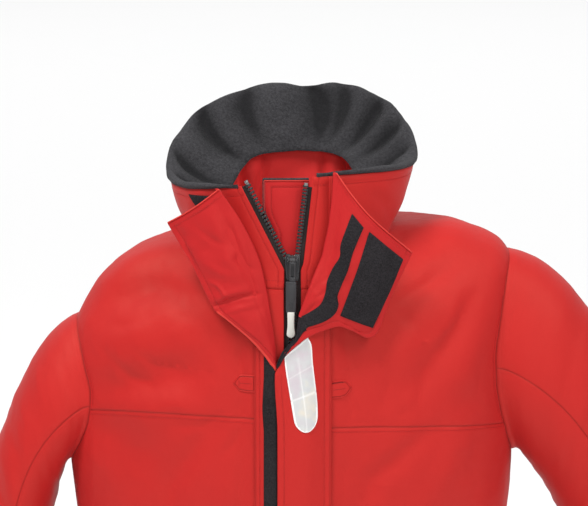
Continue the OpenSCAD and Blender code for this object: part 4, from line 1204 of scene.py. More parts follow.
# the hood, rolled up between the collar's two layers: a lumpy roll whose end shows its turns
c = np.linspace(0.24, 0.76, 90)
mid_out = collar_at(c, np.full_like(c, 0.5))
mid_in = mix(fleece_line(c, np.ones_like(c)) + [0, 0, -1], body_at(neck_angle(c), np.full_like(c, 0.05))
             - body_out(neck_angle(c), np.full_like(c, 0.05)) * 14, 0.1)
axis = mix(mid_out, mid_in, 0.46) + [0, 0, 2]
d1 = unit(np.gradient(axis, axis=0))
a1 = unit(np.cross(d1, [0, 0, 1]))
b1 = np.cross(d1, a1)
ang = np.linspace(0, 2 * np.pi, 49)[:-1]
rr = 9.2 + 1.5 * (ang / (2 * np.pi))[None] + 0.7 * np.sin(3 * ang + 1)[None] * np.sin(c * 60)[:, None]
rr = rr * (1 - 0.35 * bump(c, c[0], 0.012) - 0.35 * bump(c, c[-1], 0.012))[:, None]
g = (axis[:, None] + rr[..., None]
     * (a1[:, None] * np.cos(ang)[None, :, None] + b1[:, None] * np.sin(ang)[None, :, None]))
core = (axis[:, None] + 2.5
        * (a1[:, None] * np.cos(ang)[None, :, None] + b1[:, None] * np.sin(ang)[None, :, None]))
hood = slab("stowed_hood_roll", g, core, M_HOOD, wrap=True)
put(hood, "jacket", "hood_fabric", "stowed_hood")

# hang loop: a webbing strip, sewn down at both ends
top_pt = mix(fleece_line(np.array([0.5]), np.array([1.0]))[0] + [0, 0, -1],
             (body_at(neck_angle(np.array([0.5])), np.array([0.05]))
              - body_out(neck_angle(np.array([0.5])), np.array([0.05])) * 14)[0], 0.9)
x = graded(-30, 30, 60)
y = top_pt[1] - 4 - 10 * np.sqrt(np.maximum(0, 1 - (x / 31) ** 2))
v = graded(0, 1, 12)
g = stack([np.broadcast_to(x[None], (13, 61)), np.broadcast_to(y[None], (13, 61)),
           (top_pt[2] + 2 - 8 * v)[:, None] + 0 * x[None]], -1)
n = grid_out(g, np.array([0, 80.0, 10]))
edge = rim_distance(g, "tb")
put(slab("hang_loop_webbing", g + n * (0.35 - 0.3 * bump(edge, 0, 0.8))[..., None], g - n * 0.7, M_WEB),
    "jacket", "webbing", "hang_loop")

# loop patch on the collar
u = graded(0.66, 0.91, 30)[:, None]
g, n = collar_skin(0.088 + (0.058 - 0.026 * (0.91 - u) / 0.25) * graded(0, 1, 40)[None], u, 0.25)
d = rim_distance(g)
h = 1.0 * ease(d / 1.4) + 0.15 * noise(g, (3, 3, 3), 25)
put(slab("collar_loop_pile", g + n * (0.2 + h)[..., None], g, M_LOOP), "jacket", "loop_tape",
    "collar_loop_patch")

# ------------------------------------------------------------------ zip
NECK_Z = float(collar_at(np.array(0.0), np.array(0.0))[2]) + 1
ZIP_LOW = HEM_Z + 22


def edge_at(side, z):
    z = np.asarray(z, float)
    low = front_at(np.full_like(z, side * ZIP_HALF), z)
    c = np.full_like(z, 0.0 if side < 0 else 1.0)
    a, b = collar_at(c, 0 * z)[..., 2], collar_at(c, 0 * z + 1)[..., 2]
    u = (z - a) / (b - a)
    high = stack([edge_x(side, z), collar_at(c, u)[..., 1], z], -1)
    return np.where((z < NECK_Z)[..., None], low, high)


def chain_frame(side, z):
    run = unit(edge_at(side, z + 4) - edge_at(side, z - 4))
    out = unit(np.cross(np.broadcast_to([side, side * 0.02, 0.0], run.shape), side * run))
    return run, out, unit(np.cross(out, side * run))


def chain_at(side, z, k, o):
    _, out, inn = chain_frame(side, z)
    return (edge_at(side, z) + inn * np.asarray(k)[..., None]
            + out * (np.asarray(o) - 1.9 * ease((z - 2) / 16))[..., None])


def points_and_faces(bm):
    """The points of a bmesh and its faces, sorted by how many corners they have."""
    bm.verts.ensure_lookup_table()
    bm.verts.index_update()
    v = np.array([p.co[:] for p in bm.verts])
    faces = {}
    for f in bm.faces:
        faces.setdefault(len(f.verts), []).append([q.index for q in f.verts])
    bm.free()
    return v, [np.array(f) for f in faces.values()]


def block(hx, hy, hz, r, segments=2):
    """A box with rounded edges, as points and faces."""
    bm = bmesh.new()
    bmesh.ops.create_cube(bm, size=1)
    for p in bm.verts:
        p.co.x *= 2 * hx
        p.co.y *= 2 * hy
        p.co.z *= 2 * hz
    bmesh.ops.bevel(bm, geom=list(bm.edges), offset=r, segments=segments, profile=0.5, affect="EDGES")
    return points_and_faces(bm)


def plate(outline, y0, y1, r, segments=2):
    """A flat plate from an outline (x, z), between y0 and y1, with rounded edges."""
    bm = bmesh.new()
    ring = [bm.verts.new((x, y0, z)) for x, z in outline]
    face = bm.faces.new(ring)
    out = bmesh.ops.extrude_face_region(bm, geom=[face])
    for e in out["geom"]:
        if isinstance(e, bmesh.types.BMVert):
            e.co.y = y1
    edges = [e for e in bm.edges if abs(e.verts[0].co.y - e.verts[1].co.y) < 1e-6]
    bmesh.ops.bevel(bm, geom=edges, offset=r, segments=segments, profile=0.5, affect="EDGES")
    bmesh.ops.recalc_face_normals(bm, faces=bm.faces)
    return points_and_faces(bm)


def together(parts):
    """Several (points, faces) as one."""
    vs, fs, shift = [], {}, 0
    for v, faces in parts:
        vs.append(v)
        for f in faces:
            fs.setdefault(f.shape[1], []).append(f + shift)
        shift += len(v)
    return np.concatenate(vs), [np.concatenate(f) for f in fs.values()]


def moved(part, x=0.0, y=0.0, z=0.0, turn=0.0):
    """A part moved, after a turn in degrees about x."""
    v, f = part
    a = math.radians(turn)
    w = stack([v[:, 0], v[:, 1] * math.cos(a) - v[:, 2] * math.sin(a),
               v[:, 1] * math.sin(a) + v[:, 2] * math.cos(a)], -1)
    return w + [x, y, z], f


def on_chain(v, z0=SLIDER_Z):
    c, s = math.cos(TILT), math.sin(TILT)
    return stack([v[:, 0], front_line(z0) + v[:, 1] * c + v[:, 2] * s, z0 - v[:, 1] * s + v[:, 2] * c], -1)


def hard(name, part, material, sharp=38, z0=SLIDER_Z):
    v = on_chain(part[0], z0)
    obj = new_mesh(name, v, part[1], material, sharp, {"cloth": v * MM, "seam": np.zeros(len(v))})
    agree(obj)
    return obj


for side, word in ((1, "left"), (-1, "right")):
    z = np.concatenate([np.linspace(ZIP_LOW, -60, 120), np.linspace(-57, 68, 70)])
    k = graded(-2.4, 6.2, 10, 0.2, 0.8)
    g = stack([chain_at(side, z, np.full_like(z, kk), np.full_like(z, -2.95)) for kk in k], 1)
    run, out, inn = chain_frame(side, z)
    g = g + out[:, None] * (0.15 * noise(g, (3, 3, 1.8), 27))[..., None]
    put(slab(f"zip_tape_{word}_woven", g, g - out[:, None] * 0.8, M_TAPE), "jacket", "zip_tape",
        f"zip_tape_{word}")
    pitch = 3.6
    z = np.arange(ZIP_LOW + 3, 67, pitch) + (pitch / 2 if side > 0 else 0)
    run, out, inn = chain_frame(side, z)
    body = block(2.15, 1.35, 1.15, 0.42)
    head = moved(block(1.15, 1.05, 1.30, 0.5), x=1.75)
    foot = moved(block(0.9, 1.5, 1.35, 0.4), x=-1.9)
    v, f = together([body, head, foot])
    o = chain_at(side, z, np.full_like(z, 7.7), np.full_like(z, -3.1))
    put(stamp(f"zip_teeth_{word}_moulded", v, f, (o, inn, out, run), M_TEETH), "jacket", "zip_chain",
        f"zip_teeth_{word}")

z = np.array([70.5])
stops = []
for side in (-1, 1):
    run, out, inn = chain_frame(side, z)
    v, f = together([block(2.0, 2.0, 1.4, 0.5), moved(block(1.5, 1.6, 0.9, 0.4), x=0.3, z=-2.2)])
    stops.append((chain_at(side, z, np.array([7.6]), np.array([-3.6])), inn, out, run))
o, ex, ey, ez = (np.concatenate([s[i] for s in stops]) for i in range(4))
put(stamp("zip_top_stops_metal", v, f, (o, ex, ey, ez), M_STOP), "jacket", "zip_stops", "zip_top_stops")

v = together([moved(block(6.3, 2.4, 3.6, 0.9, 3), y=3.3), moved(block(2.0, 0.5, 2.6, 0.3), y=0.8),
              moved(block(1.0, 1.2, 3.2, 0.4), x=1.8, y=3.3, z=4.0),
              moved(block(0.9, 0.6, 3.0, 0.3), x=-4.6, y=0.9)])
put(hard("zip_box_moulded", v, M_TEETH, z0=ZIP_LOW - 5.5), "jacket", "zip_chain", "zip_box")

# slider: two plates joined by a bridge, a crown with two lugs and the bar between them
half = [(-5.4, -14), (5.4, -14), (6.3, -11), (7.8, 5), (7.8, 12), (6.6, 14), (3.2, 14), (1.4, 12.2),
        (-1.4, 12.2), (-3.2, 14), (-6.6, 14),
        (-7.8, 12), (-7.8, 5), (-6.3, -11)]
rail = [(-7.6, 5), (-6.1, -12), (-5.2, -12), (-6.5, 5), (-6.6, 12), (-7.6, 12)]
crown = [(-3.3, -9.5), (3.3, -9.5), (4.0, -6), (4.0, 4.5), (3.0, 6), (-3.0, 6), (-4.0, 4.5), (-4.0, -6)]
parts = [plate(half, 0.4, 1.8, 0.45, 3), plate(half, 4.8, 6.1, 0.45, 3),
         moved(block(1.05, 2.2, 3.9, 0.4), y=3.3, z=9.4),
         plate(rail, -0.2, 0.6, 0.18), plate([(-x, z) for x, z in rail][::-1], -0.2, 0.6, 0.18),
         plate(crown, -0.75, 0.5, 0.4, 3)]
for x in (-4.6, 4.6):
    outline = ([(-2.2, -2.6)]
               + [(-2.0 - 0.9 * math.cos(a), 0.0 + 2.3 * math.sin(a))
                  for a in np.radians(np.arange(-90, 91, 20))] + [(0.5, 2.6), (0.5, -2.6)])
    pv, pf = plate([(a, b) for a, b in outline], x - 0.75, x + 0.75, 0.3, 2)
    pv = stack([pv[:, 1], pv[:, 0], pv[:, 2] + 9.0], -1)
    parts.append((pv, pf))
ang = np.arange(16) * 2 * np.pi / 16
bar = np.array([[x, -2 + 0.98 * math.cos(a), 9 + 0.98 * math.sin(a)] for x in (-4.6, 4.6) for a in ang])
idx = np.arange(32).reshape(2, 16)
parts.append((bar, [quads(around(idx)), idx[0][::-1][None], idx[1][None]]))
put(hard("zip_slider_cast", together(parts), M_SLIDER), "slider", "slider", "zip_slider")


def ring_x(r_out, r_in, half_w, n=28):
    """A ring round the x axis with rounded corners."""
    prof = [(-half_w, r_in + 0.2), (-half_w + 0.25, r_in), (half_w - 0.25, r_in), (half_w, r_in + 0.2),
            (half_w, r_out - 0.5), (half_w - 0.5, r_out), (-half_w + 0.5, r_out), (-half_w, r_out - 0.5)]
    v = np.array([[x, r * math.cos(a), r * math.sin(a)] for a in np.arange(n) * 2 * np.pi / n for x,
                  r in prof])
    at = np.arange(n * 8).reshape(n, 8)
    at = around(at)
    at = np.concatenate([at, at[:1]], 0)
    return v, [quads(at)]


# link: a ring on the bar and a slotted frame below it
L = 23.0
parts = [moved(ring_x(2.1, 1.3, 3.2), y=-2, z=9)]
for x in (-2.45, 2.45):
    parts.append(moved(block(0.8, 0.85, 8.6, 0.35, 3), x=x, y=-2, z=9 - 10.2))
parts.append(moved(block(3.2, 0.9, 2.2, 0.5, 3), y=-2, z=9 - L + 2.2))
parts.append(moved(block(2.6, 0.62, 1.4, 0.35), y=-2, z=9 - 3.0))
put(hard("zip_pull_link", together(parts), M_LINK), "pull", "pull_link", "zip_pull")

# grip: a dark moulded tab, dished, with four small pips, and a pale soft end that flares
top_z = 9 - L - 0.2
tab = [(-5.2, 0), (5.2, 0), (5.6, -1.5), (5.6, -30), (5.0, -33), (-5.0, -33), (-5.6, -30), (-5.6, -1.5)]
parts = [moved(plate(tab, -1.5, 1.5, 0.7, 3), x=-1.6, y=-2, z=top_z)]
frame_in = [(-4.0, -3), (4.0, -3), (4.0, -20), (-4.0, -20)]
parts.append(moved(plate(frame_in, -1.85, -1.3, 0.25, 2), x=-1.6, y=-2, z=top_z))
for i in range(4):
    parts.append(moved(block(2.6 - 0.25 * i, 0.35, 0.55, 0.2), x=-1.6, y=-3.6, z=top_z - 22.6 - 2.3 * i))
end = []
for a in np.radians(np.arange(180, 361, 12)):
    end.append((4.55 * math.cos(a), -22.4 + 4.55 * math.sin(a)))
outline = ([(-3.55, 0.6), (-3.9, -1.5), (-3.6, -9), (-3.75, -16)] + end
           + [(3.75, -16), (3.6, -9), (3.9, -1.5), (3.55, 0.6)])
grip = hard("zip_grip_moulded", together(parts), M_GRIP)
put(grip, "pull", "pull_grip", "zip_grip")
pale = hard("zip_grip_end", moved(plate(outline[::-1], -2.1, 2.1, 0.95, 4), x=-1.6, y=-2, z=top_z - 33),
            M_END)
put(pale, "pull", "pull_grip")

# ------------------------------------------------------------------ guard behind the zip
GUARD_TOP = 75.0


def guard_at(x01, z, o=0.0):
    left = -20 - 10 * ease((z - 14) / 32)
    right = np.where(z < -40, 20.0, 9 + 8 * ease(z / 60))
    x = left + (right - left) * x01
    y = front_line(z) + np.where(z < -40, 7.0, 7 + 5 * ease((z + 40) / 60)) + (x / 20) ** 2
    soft = ((1.5 * np.sin(z / 21 + x / 16) + 0.8 * noise(stack([x, 0 * x, z], -1), (14, 14, 26), 33))
            * ease((z + 30) / 40))
    return stack([x, y - soft * 0.6 + o, z], -1)


x01, z = graded(0, 1, 40), graded(HEM_Z + 10, GUARD_TOP, 260, 0, 0.6)
g = guard_at(x01[None], z[:, None])
n = grid_out(g, np.array([0, 60.0, -200]))
d = np.minimum(rim_distance(g, "l"), rim_distance(g, "b"))
h = -0.45 * bump(d, 8, 0.9) + 0.3 * bump(d, 5, 2.5)
SEAMS += [inset(g, n, "b", 8), inset(g[120:], n[120:], "l", 8)]
# painted shade in the stitch groove 8 mm in from the left and bottom edges (mark)
put(slab("zip_guard_cloth", g + n * h[..., None], g - n * 1.5, M_INNER, mark=0.55 * bump(d, 8, 0.7)),
    "jacket", "inner_red", "zip_guard")
line = np.concatenate([g[150:, 0], g[-1, 1:]])
edge_n = np.concatenate([n[150:, 0], n[-1, 1:]])
put(tube("zip_guard_edge_fleece", line + edge_n * -0.5, 1.5, M_FLEECE, 8), "jacket", "fleece")
# the cord along the guard's top edge is coloured in the lighter red of painted highlight
put(tube("zip_guard_piping", line + edge_n * 0.75 + np.array([0.4, 0, -1.2]), 0.5, M_EDGE_HIGHLIGHT, 6), "jacket",
    "inner_red")

# ------------------------------------------------------------------ storm flaps
FLAP = 1.9


def inner_h(x):
    return 0.4 + 5.6 * ease((x + SEAM_X) / 22) * (1 - 0.5 * ease((x - 10) / 12))


def outer_h(x):
    return 1 + 8.6 * ease((SEAM_X - x) / 28)


ROLL_Z = [84, 60, 30, -3, -27, -49, -63, -75, -84, -90, -96, -104, -112, -120, -128]
ROLL_X = [42, 41, 37.5, 30.5, 20, 11.5, 6.6, 4.9, 4.4, 2.0, -4.5, -11, -14.8, -17.2, -18.3]


def roll_x(z):
    return np.interp(-np.asarray(z, float), [-q for q in ROLL_Z], ROLL_X)


def closed(x, z, h, lift=0.0):
    p = stack([x, front_line(z) - h - lift, z], -1)
    soft = 0.8 * noise(p, (26, 26, 90), 41) + 0.35 * noise(p, (11, 11, 20), 42)
    p[..., 1] -= np.clip(soft, -0.9, 0.9) * 0.5
    return p


# outer flap, closed part: from the neck to the hem
z = np.concatenate([graded(80, -131, 120, 0, 0.3), graded(-131, HEM_Z + 12, 190, 0.3, 0.8)[1:]])
xl = np.where(z > -131, np.minimum(roll_x(z) + 3.2 * ease((z + 131) / 12), SEAM_X - 1.5), -17.6)
xl = np.where(z < -100, mix(xl, -17.8 + 2.7 * ease((-134 - z) / 56), ease((-118 - z) / 12)), xl)
k = graded(0, 1, 60)
x = xl[:, None] + (SEAM_X + 1 - xl)[:, None] * k[None]
g = closed(x, z[:, None], outer_h(x), FLAP)
n = grid_out(g, np.array([0, 60.0, -300]))
dl = rim_distance(g, "l") + np.where(z > -126, 50, 0)[:, None]
dr = rim_distance(g, "r")
pucker = noise(g, (6, 6, 4.5), 43) * (0.4 * bump(dr, 5, 6) + 0.3 * bump(dl, 4, 5))
h = (pucker - 0.8 * bump(dr, 1.0, 1.3) - 0.55 * bump(dr, 7.5, 0.9) - 0.45 * bump(dl, 6.5, 0.9)
     + 0.25 * (1 - ease((dl - 6) / 1.0)))
OUTER = g + n * h[..., None]
FLAP_SEAMS = [inset(OUTER, n, "r", 7.0), inset(OUTER[122:], n[122:], "l", 6.2)]
# painted shade along the sewn edge and in the two stitch grooves (mark)
obj = slab("outer_storm_flap_cloth", OUTER, g - n * FLAP, M_RED,
           mark=0.7 * bump(dr, 1.0, 0.9) + 0.5 * bump(dr, 7.5, 0.6) + 0.4 * bump(dl, 6.5, 0.6))
put(obj, "bend:storm_flap", "outer_red", "storm_flap_root", "storm_flap_lower")
OUTER_TREE = tree_of(OUTER)
put(stitches("topstitching_storm_flap", FLAP_SEAMS, M_THREAD), "bend:storm_flap", "outer_red")

# inner flap, closed part
z = graded(-98, HEM_Z + 10, 220, 0.2, 0.8)
xr = mix(22.0, -17.0, ease((z + 152) / 26))
k = graded(0, 1, 46)
x = -SEAM_X + (np.where(z > -140, mix(-26.0, -17.0, ease((-100 - z) / 34)), xr) + SEAM_X)[:, None] * k[None]
g = closed(x, z[:, None], inner_h(x), FLAP)
n = grid_out(g, np.array([0, 60.0, -300]))
dl = rim_distance(g, "l")
h = noise(g, (6, 6, 4.5), 44) * 0.35 * bump(dl, 5, 6) - 0.8 * bump(dl, 0.8, 1.2) - 0.5 * bump(dl, 5.5, 0.9)
INNER = g + n * h[..., None]
SEAMS.append(inset(g, n, "l", 5.2))
# painted shade along the flap's free edge (mark)
put(slab("inner_storm_flap_cloth", INNER, g - n * FLAP, M_RED, mark=0.7 * bump(dl, 0.8, 0.8)), "jacket",
    "outer_red", "inner_flap_lower")
INNER_TREE = tree_of(INNER)

# outer flap, the part folded back: rows go down the fold, each from the fold to the free edge
CHIN = [
    [[45.5, -118, 84], [63, -125, 60], [86, -125, 34], [124.7, -113, -1]],
    [[41, -122, 40], [57, -130, 22], [83, -129, 3], [117, -116, -17]],
    [[34, -127, -3], [50, -134, -19], [77, -130, -34], [104, -119, -45]],
    [[24, -133, -26], [41, -137.5, -44], [64, -133, -66], [85.5, -125, -87]],
    [[21, -134, -31], [33, -138, -45], [47, -136.5, -61], [62, -132.5, -79]],
    [[18, -135, -36], [29, -138.5, -47], [39, -138.5, -59], [49.5, -136, -74]],
    [[12.5, -136, -51], [20, -139, -61], [28, -138.8, -70], [36, -137, -77]],
    [[8.6, -136.5, -66], [11, -139, -72], [13.5, -139, -78], [16.5, -138, -85]],
    [[7.0, -136, -83], [6.5, -138.5, -87], [4.5, -138.5, -91], [1.5, -137.5, -96.5]],
    [[-2, -134, -96], [-3.5, -136.5, -98.5], [-5.2, -136.5, -101.5], [-7, -135.8, -105]],
    [[-11.5, -132.5, -110], [-11.8, -134, -112], [-12.3, -134, -114], [-13, -133.8, -117.5]],
    [[-16.2, -131, -121], [-16.2, -131.8, -122.5], [-16.4, -131.8, -124], [-16.8, -131.6, -126.5]]]
u = np.concatenate([np.linspace(a, a + 1, 15)[:-1] for a in range(11)] + [[11.0]])
v = graded(0, 3, 56, 0.3, 0.8)
flat = net(CHIN, u[:, None], v[None])
z0 = flat[:, 0, 2]
xr = np.minimum(roll_x(z0), flat[:, 0, 0] - 1.6)
root = stack([flat[:, 0, 0], front_line(z0) - outer_h(np.minimum(flat[:, 0, 0], SEAM_X)) - 1.2, z0], -1)
root[:, 1] = np.maximum(root[:, 1], flat[:, 0, 1] + 2.2)
mid = (root + flat[:, 0]) / 2
half_d = (root - flat[:, 0]) / 2
reach = np.clip(flat[:, 0, 0] - xr, 1.2, 6.0)
turn = []
for ang in np.radians(np.linspace(0, 165, 12)):
    turn.append(mid + half_d * math.cos(ang) + np.array([-1, 0, 0.25]) * (reach * math.sin(ang))[:, None])
G = np.concatenate([np.stack(turn, 1), flat], 1)
for _ in range(2):
    G[:, 10:16] = (G[:, 9:15] + 2 * G[:, 10:16] + G[:, 11:17]) / 4
n = grid_out(G, np.zeros(3))
if n[:, 30:].mean((0, 1))[1] > 0:
    n = -n
d = rim_distance(G, "tr")
dr, dt = rim_distance(G, "r"), rim_distance(G, "t")
inside = ease((np.arange(G.shape[1]) - 12) / 14.0)[None]
wave = (1.7 * noise(G, (22, 30, 24), 51) + 0.8 * noise(G, (10, 20, 11), 52)) * inside * ease(d / 9) \
    * ease((u[:, None] + 0.4) / 1.4) * ease((11.2 - u[:, None]) / 4)
CHIN_FOLDS = [
    ([(40, 66), (34, 34), (28, 4), (20, -26)], 4.0, 1.5),
    ([(48, 54), (43, 24), (37, -2), (28, -30)], 3.4, -2.2),
    ([(34, -14), (25, -28), (16, -40)], 3.2, -2.2),
    ([(29, -40), (20, -46), (12, -56)], 3.0, 1.5),
    ([(26, -50), (14, -60), (7, -72)], 2.6, -1.4),
    ([(58, 40), (52, 10), (44, -14)], 4.0, 1.4),
    ([(44, 8), (34, -8), (24, -26), (14, -48)], 2.2, -1.8),
    ([(42, -20), (33, -26), (26, -30)], 2.4, -1.6),
    ([(36, -36), (27, -42), (20, -46)], 2.2, -1.4)]
crease = creases(G, CHIN_FOLDS)
wave = wave + crease * inside * ease((d + 2) / 6)
h = (wave + 0.5 * (1 - ease((dr - 5.4) / 1.0)) - 0.4 * bump(dr, 6.2, 0.8) - 0.35 * bump(dt, 4.4, 0.8)
     + noise(G, (5, 5, 5), 53) * 0.22 * bump(d, 3, 4))
TOP = G + n * h[..., None]
# painted shade in the stitch groove near the free edge (mark)
obj = slab("chin_flap_cloth", TOP, G - n * 1.8, M_INNER, round_edge=0.5,
           mark=0.45 * bump(dr, 6.2, 0.6) * inside)
# painted highlight: the band along the flap's free edge takes the lighter red
paint(obj, (dr < 5.0) & (u[:, None] > 4.6) & (np.arange(G.shape[1])[None] > 12), M_EDGE_HIGHLIGHT)
paint(obj, (dr > np.minimum(6.2,
                            1.2 + 3.2 * (11 - u[:, None]))) & (u[:,
                                    None] > 6.9) & (np.arange(G.shape[1])[None] > 1), M_HOOK)
put(obj, "bend:chin_flap", "inner_red", "storm_flap_collar")
CHIN_TREE = tree_of(TOP[:, 14:])
rows = [inset(TOP[:, 14:], n[:, 14:], "r", 5.4), inset(TOP[:, 14:], n[:, 14:], "t", 4.2)]
put(stitches("topstitching_chin_flap", rows, M_THREAD), "bend:chin_flap", "inner_red")
# the rolled top edge is coloured in the lighter red of painted highlight
put(tube("chin_flap_piping", TOP[0, 12:] + n[0, 12:] * 0.2 + np.array([0, -0.3, 0.9]), 0.75, M_EDGE_HIGHLIGHT, 8),
    "bend:chin_flap", "inner_red")

# hook patch and strip on it
q = np.array([[80, 24], [115.5, -7.5], [84, -78.5], [50.2, -63]], float)
t = graded(0, 1, 30)
patch_ends = ribbon([q[0], [66, -20], q[3]], [q[1], [101, -42], q[2]], 47, 2)
side_a, side_b = patch_ends[:, 0], patch_ends[:, 1]
grid = side_a[:, None] * (1 - t[None, :, None]) + side_b[:, None] * t[None, :, None]
put(applique("chin_hook_patch_tape", CHIN_TREE, grid, M_HOOK, 0.1, 1.5), "bend:chin_flap", "hook_tape",
    "chin_hook_patch")
left = [[62, 43], [55.8, 27], [50.4, 11], [49.5, -1], [42.5, -13], [36.5, -27], [34.5, -39], [29, -51],
        [18, -59.5], [9.5, -64]]
right = [[73.5, 29], [66, 12], [61.5, 0], [57, -16], [50, -32.5], [46.5, -42], [47.5, -52], [43.5, -61],
         [33, -68.5], [16.5, -74.5]]
put(applique("flap_hook_strip_tape", CHIN_TREE, ribbon(left, right, 80, 18), M_HOOK, 0.1, 1.4),
    "bend:chin_flap", "hook_tape", "flap_hook_strip")
left = [[9.5, -64], [8.6, -70], [7.6, -80], [3, -90], [-3.5, -97], [-11.4, -110.5], [-15.6, -119.5]]
right = [[16.5, -74.5], [13.8, -77], [10.0, -81.5], [4.8, -88.5], [-2.5, -98.5], [-10.2, -111.5],
         [-15.2, -120.5]]
put(applique("flap_hook_strip_foot_tape", CHIN_TREE, ribbon(left, right, 60, 12), M_HOOK, 0.1, 1.1),
    "bend:chin_flap", "hook_tape")

# inner flap, the part folded back on the wearer's right
LAPEL = [
    [[-76, -116, 67], [-96, -113, 51], [-114, -105, 38], [-131, -95, 27]],
    [[-53, -119, 33], [-75, -121, 24], [-97, -115, 15], [-118.5, -104, 7]],
    [[-35, -121, -5], [-60, -126, -9], [-84, -122, -11], [-106, -111.5, -13]],
    [[-27.5, -123, -36], [-49, -128, -40], [-71, -126, -41], [-91, -119, -42]],
    [[-24.5, -124, -53], [-44, -129, -56], [-64, -127.5, -58], [-82, -122, -59]],
    [[-22.5, -125, -66], [-38, -130.5, -67], [-54, -130, -68.5], [-70, -127, -68]],
    [[-19.5, -126.5, -86], [-28, -131.5, -87], [-37, -132, -88.5], [-45, -131, -89]],
    [[-17.5, -128, -104], [-21, -131.5, -105], [-25, -132, -106.5], [-29, -132, -107]],
    [[-16.8, -129, -122], [-17, -130.5, -122.5], [-17.3, -131, -123], [-17.8, -131, -124]]]
u = np.concatenate([np.linspace(a, a + 1, 17)[:-1] for a in range(8)] + [[8.0]])
v = graded(0, 3, 60, 0.5, 0.8)
G = net(LAPEL, u[:, None], v[None])
# the root turns in behind the fold, towards the seam
tuck = [G[:, 0] + np.array([dx, dy, 0.0]) for dx, dy in ((-3.5, 4.0), (-1.0, 3.4), (0.9, 1.9))]
G = np.concatenate([np.stack(tuck, 1), G], 1)
for _ in range(2):
    G[:, 1:6] = (G[:, 0:5] + 2 * G[:, 1:6] + G[:, 2:7]) / 4
n = grid_out(G, np.zeros(3))
if n[:, 30:].mean((0, 1))[1] > 0:
    n = -n
dr, dt = rim_distance(G, "r"), rim_distance(G, "t")
d = np.minimum(dr, dt)
inside = ease((np.arange(G.shape[1]) - 3) / 16.0)[None]
wave = ((1.8 * noise(G, (30, 30, 22), 61) + 0.9 * noise(G, (12, 20, 11), 62)) * inside * ease(d / 9)
        * ease((8.2 - u[:, None]) / 3))
LAPEL_FOLDS = [
    ([(-86, -58), (-70, -50), (-52, -44), (-34, -42)], 2.2, -3.2),
    ([(-84, -49), (-66, -42), (-48, -36)], 4.0, 1.6),
    ([(-72, -64), (-56, -57), (-36, -53)], 3.4, 1.4),
    ([(-78, 52), (-64, 22), (-50, -14), (-38, -44)], 5.0, -2.4),
    ([(-86, 40), (-72, 12), (-58, -20)], 7.0, 1.8),
    ([(-100, 26), (-84, 14), (-66, 8)], 4.0, -1.4),
    ([(-66, -2), (-50, -12), (-36, -18)], 4.0, -1.6),
    ([(-96, -8), (-76, -20), (-60, -24)], 5.0, 1.3),
    ([(-88, -30), (-78, -34), (-70, -44), (-76, -52)], 2.2, 1.8),
    ([(-116, 20), (-112, 4), (-104, -12), (-94, -40)], 2.6, -1.4),
    ([(-46, -16), (-40, -34), (-36, -52), (-28, -76)], 2.6, -1.6),
    ([(-66, 46), (-58, 24), (-50, 6), (-44, -12)], 3.0, 1.5)]
crease = creases(G, LAPEL_FOLDS)
crease = crease * inside * ease((d + 3) / 6)
h = (wave + crease - 0.45 * bump(d, 6.4, 0.9) + 0.3 * (1 - ease((d - 5.6) / 1.0))
     + noise(G, (5, 5, 5), 63) * 0.25 * bump(d, 4, 5))
TOPL = G + n * h[..., None]
# painted shade in the stitch groove along the edges (mark)
obj = slab("lapel_cloth", TOPL, G - n * 1.8, M_INNER, round_edge=0.5, mark=0.5 * bump(d, 6.4, 0.6) * inside)
# painted highlight: the band along the lapel's free edge takes the lighter red
paint(obj, (dr < 2.2) & (u[:, None] > 4.2) & (np.arange(G.shape[1])[None] > 6), M_EDGE_HIGHLIGHT)
put(obj, "bend:lapel", "inner_red", "inner_flap_collar")
rows = [inset(TOPL[:, 4:], n[:, 4:], "r", 6.0), inset(TOPL[:, 4:], n[:, 4:], "t", 6.0)]
put(stitches("topstitching_lapel", rows, M_THREAD), "bend:lapel", "inner_red")
# the rolled top edge is coloured in the lighter red of painted highlight
put(tube("lapel_piping", TOPL[0, 4:] + np.array([0, -0.4, 0.8]), 0.75, M_EDGE_HIGHLIGHT, 8), "bend:lapel", "inner_red")

# tapes on the closed flaps and the reflective patch
strip_left = [[-29.6, -101], [-29.8, -132], [-31.4, -163], [-31.2, -172], [-30.0, -190], [-30.2, -300],
              [-30.2, HEM_Z + 24]]
grid = ribbon(strip_left, [[-16.4, -124], [-16.4, -300], [-16.4, HEM_Z + 24]], 260, 14, False)
put(applique("front_loop_strip_pile", INNER_TREE, grid, M_LOOP, 0.05, 1.1), "jacket", "loop_tape",
    "front_loop_strip")
x = np.linspace(-15, 3, 10)[None]
z = np.linspace(HEM_Z + 24, THROAT_Z - 14, 160)[:, None]
g = closed(x + 0 * z, z + 0 * x, outer_h(x) - 0.15)
n = np.array([0, 1.0, 0])
put(slab("flap_hook_strip_lower_tape", g, g + n * 0.8, M_HOOK), "storm_flap", "hook_tape",
    "flap_hook_strip_lower")

left = [[-8.4, -108], [-7.2, -120], [-4.8, -136], [-2.2, -152], [0.4, -168], [2.4, -179], [4.8, -189.8]]
right = [[15.6, -87], [19.6, -96], [21.0, -114], [23.0, -132], [25.2, -151], [26.2, -167], [26.0, -178.5],
         [25.0, -188.8]]
left2 = resample(left, 110)
right2 = resample(right, 110)
l = np.linspace(0, 1, 110)[:, None]
t = graded(0, 1, 28)
end = np.clip((l - 0.84) / 0.16, 0, 1)
half = np.sqrt(np.clip(1 - end ** 2.3, 0.02, 1))
t2 = 0.5 + (t[None] - 0.5) * half
grid = left2[:, None] * (1 - t2[..., None]) + right2[:, None] * t2[..., None]
base, n = drape(OUTER_TREE, grid, 0.1)
d = rim_distance(base)
press = (bump(l, 0.58, 0.012) + bump(t[None] - 0.47 - 0.05 * l, 0, 0.022) * (0.4 + 0.6 * (l > 0.12))
         + 0.6 * bump(l, 0.30, 0.008))
